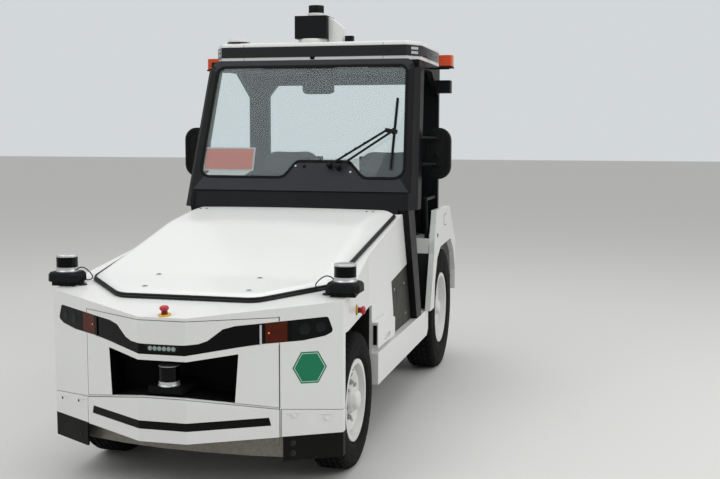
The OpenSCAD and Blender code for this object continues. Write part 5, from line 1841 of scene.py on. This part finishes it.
@dataclass
class Flanks:
    """Details of both sides: mirrors, fender flaps and locks, side boxes and panel screws."""

    # A mirror's middle, its shell's front, and its raised rings as half width, half height and radius
    mirror: Pair = (0.752, 1.428)
    shell_y: float = 0.4253
    rings: tuple = ((0.06, 0.134, 0.0035), (0.046, 0.116, 0.0025))
    clamp_z: tuple = (1.368, 1.518)
    # Places along the tug and heights
    flap: Pair = (1.17, 0.985)
    lock: Pair = (0.88, 0.905)
    panel_screws: tuple = ((-0.11, 0.7), (-0.11, 0.52), (0.15, 0.7), (0.2, 0.52))
    plate_spot: Pair = (0.02, 0.66)

    def build(self) -> None:
        """Builds the details of both sides."""
        body, panels = Skin("rear_body"), Skin("side_panels")
        for side in Side:
            self._mirror(side)
            self._fender(side, body)
            self._side_box(side, panels)
        LOG.info("flanks: mirrors, flaps, locks, boxes")

    def _on(self, skin: Skin, side: Side, spot: Pair) -> Matrix:
        """Gives a frame on one side's surface, at a place along the tug and a height."""
        return skin.seat((side.value * 0.9, *spot), (-side.value, 0, 0))

    def _mirror(self, side: Side) -> None:
        """Builds the raised rings on a mirror's shell, its clamps and the glass behind.

        Args:
            side: Side of the tug.
        """
        name, x, z, front = side.word, side.value * self.mirror[0], self.mirror[1], self.shell_y
        bm = bmesh.new()
        for half_w, half_h, r in self.rings:
            ring = [Vector((x + dx, front, z + dz))
                    for dx, dz in rounded_box(half_w, half_h, half_w - 0.001, 12)]
            add_tube(bm, ring, r, 8, True)
        add_lathe(bm, [(0.016, 0.0), (0.016, 0.005), (0.012, 0.007), (0, 0.007)],
                  upright((x, front, z - 0.01), (0, -1, 0)), 24)
        make_piece(f"mirror_rings_{name}", bm, GRAINED_ABS)
        place = upright((x, front + 0.046, z), (0, 1, 0))
        plate(f"mirror_glass_{name}", rounded_box(0.066, 0.14, 0.064, 12), 0.002, place,
              MIRROR_GLASS)
        clamps = [((x - 0.016, 0.4145, middle - 0.014), (x + 0.016, 0.4265, middle + 0.014))
                  for middle in self.clamp_z]
        blocks(f"mirror_clamps_{name}", clamps, GRAINED_ABS, 3.0)

    def _fender(self, side: Side, skin: Skin) -> None:
        """Builds the oval flap and the small lock of a rear fender.

        Args:
            side: Side of the tug.
            skin: Surface of the rear body.
        """
        name, place = side.word, self._on(skin, side, self.flap)
        plate(f"fender_flap_gap_{name}", rounded_box(0.056, 0.038, 0.0378, 10), 0.0008, place,
              DARK_GAP)
        plate(f"fender_flap_{name}", rounded_box(0.0525, 0.0345, 0.0343, 10), 0.0016, place,
              WHITE_ENAMEL, 0.6)
        profile = [(0.013, 0.0003), (0.013, 0.002), (0.0115, 0.003), (0.007, 0.0022), (0, 0.0022)]
        turned(f"fender_lock_{name}", profile, self._on(skin, side, self.lock), 28, DARK_SCREW_AND_DIVIDER_SHADE)

    def _side_box(self, side: Side, skin: Skin) -> None:
        """Builds the slot of the box beside the cab, the dark panel's screws and its blank plate.

        Args:
            side: Side of the tug.
            skin: Surface of the dark panels.
        """
        name, x = side.word, side.value * 0.632
        blocks(f"box_slot_{name}", [((x - 0.01, -0.6445, 0.5), (x + 0.01, -0.6428, 0.598))],
               DARK_GAP)
        bm = bmesh.new()
        for spot in self.panel_screws:
            add_screw(bm, self._on(skin, side, spot), 0.006, 0.004)
        make_piece(f"panel_screws_{name}", bm, ZINC_SCREW)
        plate(f"blank_plate_{name}", rounded_box(0.07, 0.03, 0.004), 0.001,
              self._on(skin, side, self.plate_spot), CAB_POWDER)


@dataclass
class Tail:
    """Details at the rear: lamp frames, nuts of the coupling and the trailer socket."""

    panel_y: float = 1.64
    lamp_x: float = 0.58
    nut_x: float = 0.07
    nut_z: tuple = (0.32, 0.44)
    socket: Pair = (0.32, 0.64)

    def build(self) -> None:
        """Builds the rear's details."""
        y = self.panel_y
        lamps = [((side.value * self.lamp_x - 0.056, y + 0.0003, 0.694),
                  (side.value * self.lamp_x + 0.056, y + 0.006, 0.796)) for side in Side]
        blocks("lamp_frames", lamps, GRAINED_ABS, 2.0)
        bm = bmesh.new()
        for x in (-self.nut_x, self.nut_x):
            for z in self.nut_z:
                add_nut(bm, upright((x, 1.654, z), (0, 1, 0)), 0.011, 0.012)
        make_piece("coupling_nuts", bm, ZINC_SCREW, 0.5)
        profile = [(0.036, 0), (0.036, 0.008), (0.03, 0.01), (0.028, 0.038), (0.024, 0.04), (0, 0.04)]
        place = upright((self.socket[0], y + 0.0003, self.socket[1]), (0, 1, 0))
        turned("trailer_socket", profile, place, 36, GRAINED_ABS)
        LOG.info("tail: frames, nuts, socket")


# Studio


@dataclass
class Studio:
    """Camera at the photograph's place, soft lamps and a pale floor."""

    eye: Triple = (1.783, -5.579, 1.534)
    yaw: float = radians(-13.982)
    pitch: float = radians(5.736)
    roll: float = radians(0.119)
    lens: float = 51.984
    floor_colour: str = "#c9c9c6"
    backdrop: str = "#d3d7d9"
    # Sky's strength at the floor and overhead
    sky: Pair = (0.4, 0.84)
    aim: Triple = (0, -0.2, 0.9)
    # Lamps as name, place, size and power in watts
    lamps: tuple = (("key", (-3.5, -5.0, 6.5), 5.0, 150.0), ("fill", (6.5, -1.5, 4.5), 5.0, 170.0),
                    ("top", (0.0, 1.0, 7.5), 7.0, 185.0))

    def build(self) -> None:
        """Builds camera, floor, world and lamps."""
        self._camera()
        self._floor()
        self._world()
        self._lamps()
        bpy.context.scene.view_settings.view_transform = "Standard"
        LOG.info("studio ready")

    def _camera(self) -> None:
        """Places the camera as the photograph was taken."""
        ahead = Vector((sin(self.yaw) * cos(self.pitch), cos(self.yaw) * cos(self.pitch), -sin(self.pitch)))
        level = Vector((cos(self.yaw), -sin(self.yaw), 0))
        up = level.cross(ahead)
        right = level * cos(self.roll) + up * sin(self.roll)
        top = up * cos(self.roll) - level * sin(self.roll)
        camera = bpy.data.objects.new("camera", bpy.data.cameras.new("camera"))
        camera.data.lens = self.lens
        camera.data.sensor_width = 36.0
        camera.data.clip_end = 200.0
        turn = Matrix((right, top, -ahead)).transposed().to_4x4()
        camera.matrix_world = Matrix.Translation(self.eye) @ turn
        bpy.context.scene.collection.objects.link(camera)
        bpy.context.scene.camera = camera

    def _floor(self) -> None:
        """Lays the pale floor."""
        mesh = bpy.data.meshes.new("floor")
        half = 60.0
        mesh.from_pydata([(x * half, y * half, 0) for x, y in ((-1, -1), (1, -1), (1, 1), (-1, 1))], [],
                         [(0, 1, 2, 3)])
        ground = bpy.data.objects.new("floor", mesh)
        bpy.context.scene.collection.objects.link(ground)
        material = bpy.data.materials.new("pale_floor")
        material.use_nodes = True
        shader = material.node_tree.nodes["Principled BSDF"]
        shader.inputs["Base Color"].default_value = linear(self.floor_colour)
        shader.inputs["Roughness"].default_value = 0.85
        mesh.materials.append(material)

    def _world(self) -> None:
        """Lights the object evenly from a pale sky and shows a pale backdrop."""
        world = bpy.data.worlds.new("world")
        bpy.context.scene.world = world
        world.use_nodes = True
        tree = world.node_tree
        tree.nodes.clear()
        place = add_node(tree, "ShaderNodeTexCoord", {}, {})
        height = add_node(tree, "ShaderNodeSeparateXYZ", {}, {0: place.outputs["Generated"]})
        limits = {"From Min": -0.2, "From Max": 1.0, "To Min": self.sky[0], "To Max": self.sky[1]}
        lift = add_node(tree, "ShaderNodeMapRange", limits, {0: height.outputs["Z"]}).outputs[0]
        sky = add_node(tree, "ShaderNodeBackground", {"Color": (0.985, 0.992, 1.0, 1.0)}, {"Strength": lift})
        seen = add_node(tree, "ShaderNodeBackground", {"Color": linear(self.backdrop), "Strength": 1.0}, {})
        path = add_node(tree, "ShaderNodeLightPath", {}, {})
        either = add_node(tree, "ShaderNodeMath", {"operation": "MAXIMUM"},
                          {0: path.outputs["Is Camera Ray"], 1: path.outputs["Is Transmission Ray"]})
        mix = add_node(tree, "ShaderNodeMixShader", {},
                       {0: either.outputs[0], 1: sky.outputs[0], 2: seen.outputs[0]})
        add_node(tree, "ShaderNodeOutputWorld", {}, {0: mix.outputs[0]})

    def _lamps(self) -> None:
        """Hangs three large soft lamps."""
        for name, spot, size, power in self.lamps:
            light = bpy.data.lights.new(name, "AREA")
            light.size = size
            light.energy = power
            lamp = bpy.data.objects.new(name, light)
            aim = Vector(self.aim) - Vector(spot)
            lamp.matrix_world = Matrix.Translation(spot) @ aim.to_track_quat("-Z", "Y").to_matrix().to_4x4()
            bpy.context.scene.collection.objects.link(lamp)


def sub_assemblies() -> list:
    """Lists the tug's sub-assemblies.

    Returns:
        The sub-assemblies, in the order in which they are built.
    """
    parts: list = [Studio(), FrameDress()]
    for side in Side:
        name = side.word
        front, rear = (side.value * 0.555, -1.01, 0.315), (side.value * 0.56, 1.2, 0.395)
        parts += [
            Tyre(f"tyre_front_{name}", f"wheel_front_{name}", front, 0.315, 0.17, 0.182, side.value, lugs=54),
            Tyre(f"tyre_rear_{name}", f"wheel_rear_{name}", rear, 0.395, 0.2, 0.222, side.value, lugs=62),
            WheelHub(f"hub_front_{name}", f"wheel_front_{name}", f"rim_front_{name}", front, side.value, 6,
                     0.08),
            WheelHub(f"hub_rear_{name}", f"wheel_rear_{name}", f"rim_rear_{name}", rear, side.value, 8,
                     0.092),
        ]
    parts.append(Nose())
    for side in Side:
        parts.append(Sensor(f"corner_sensor_{side.word}", "corner_sensors", (side.value * 0.658, -1.32),
                            0.912, 0.9893, 0.0485, 0.02, 0.0115))
    parts += [
        Sensor("grille_sensor_unit", "grille_sensor", (0.0, -1.677), 0.505, 0.592, 0.043, 0.02, 0.01, True),
        SensorHousing(), HoodCover(), Screen(), Seats(), Cockpit(), Roof(), Flanks(), Tail(),
    ]
    return parts


def main() -> None:
    """Builds the tug's looks, sub-assembly by sub-assembly."""
    logging.basicConfig(level=logging.INFO, format="%(name)s: %(message)s")
    for part in sub_assemblies():
        part.build()


if __name__ == "__main__":
    main()
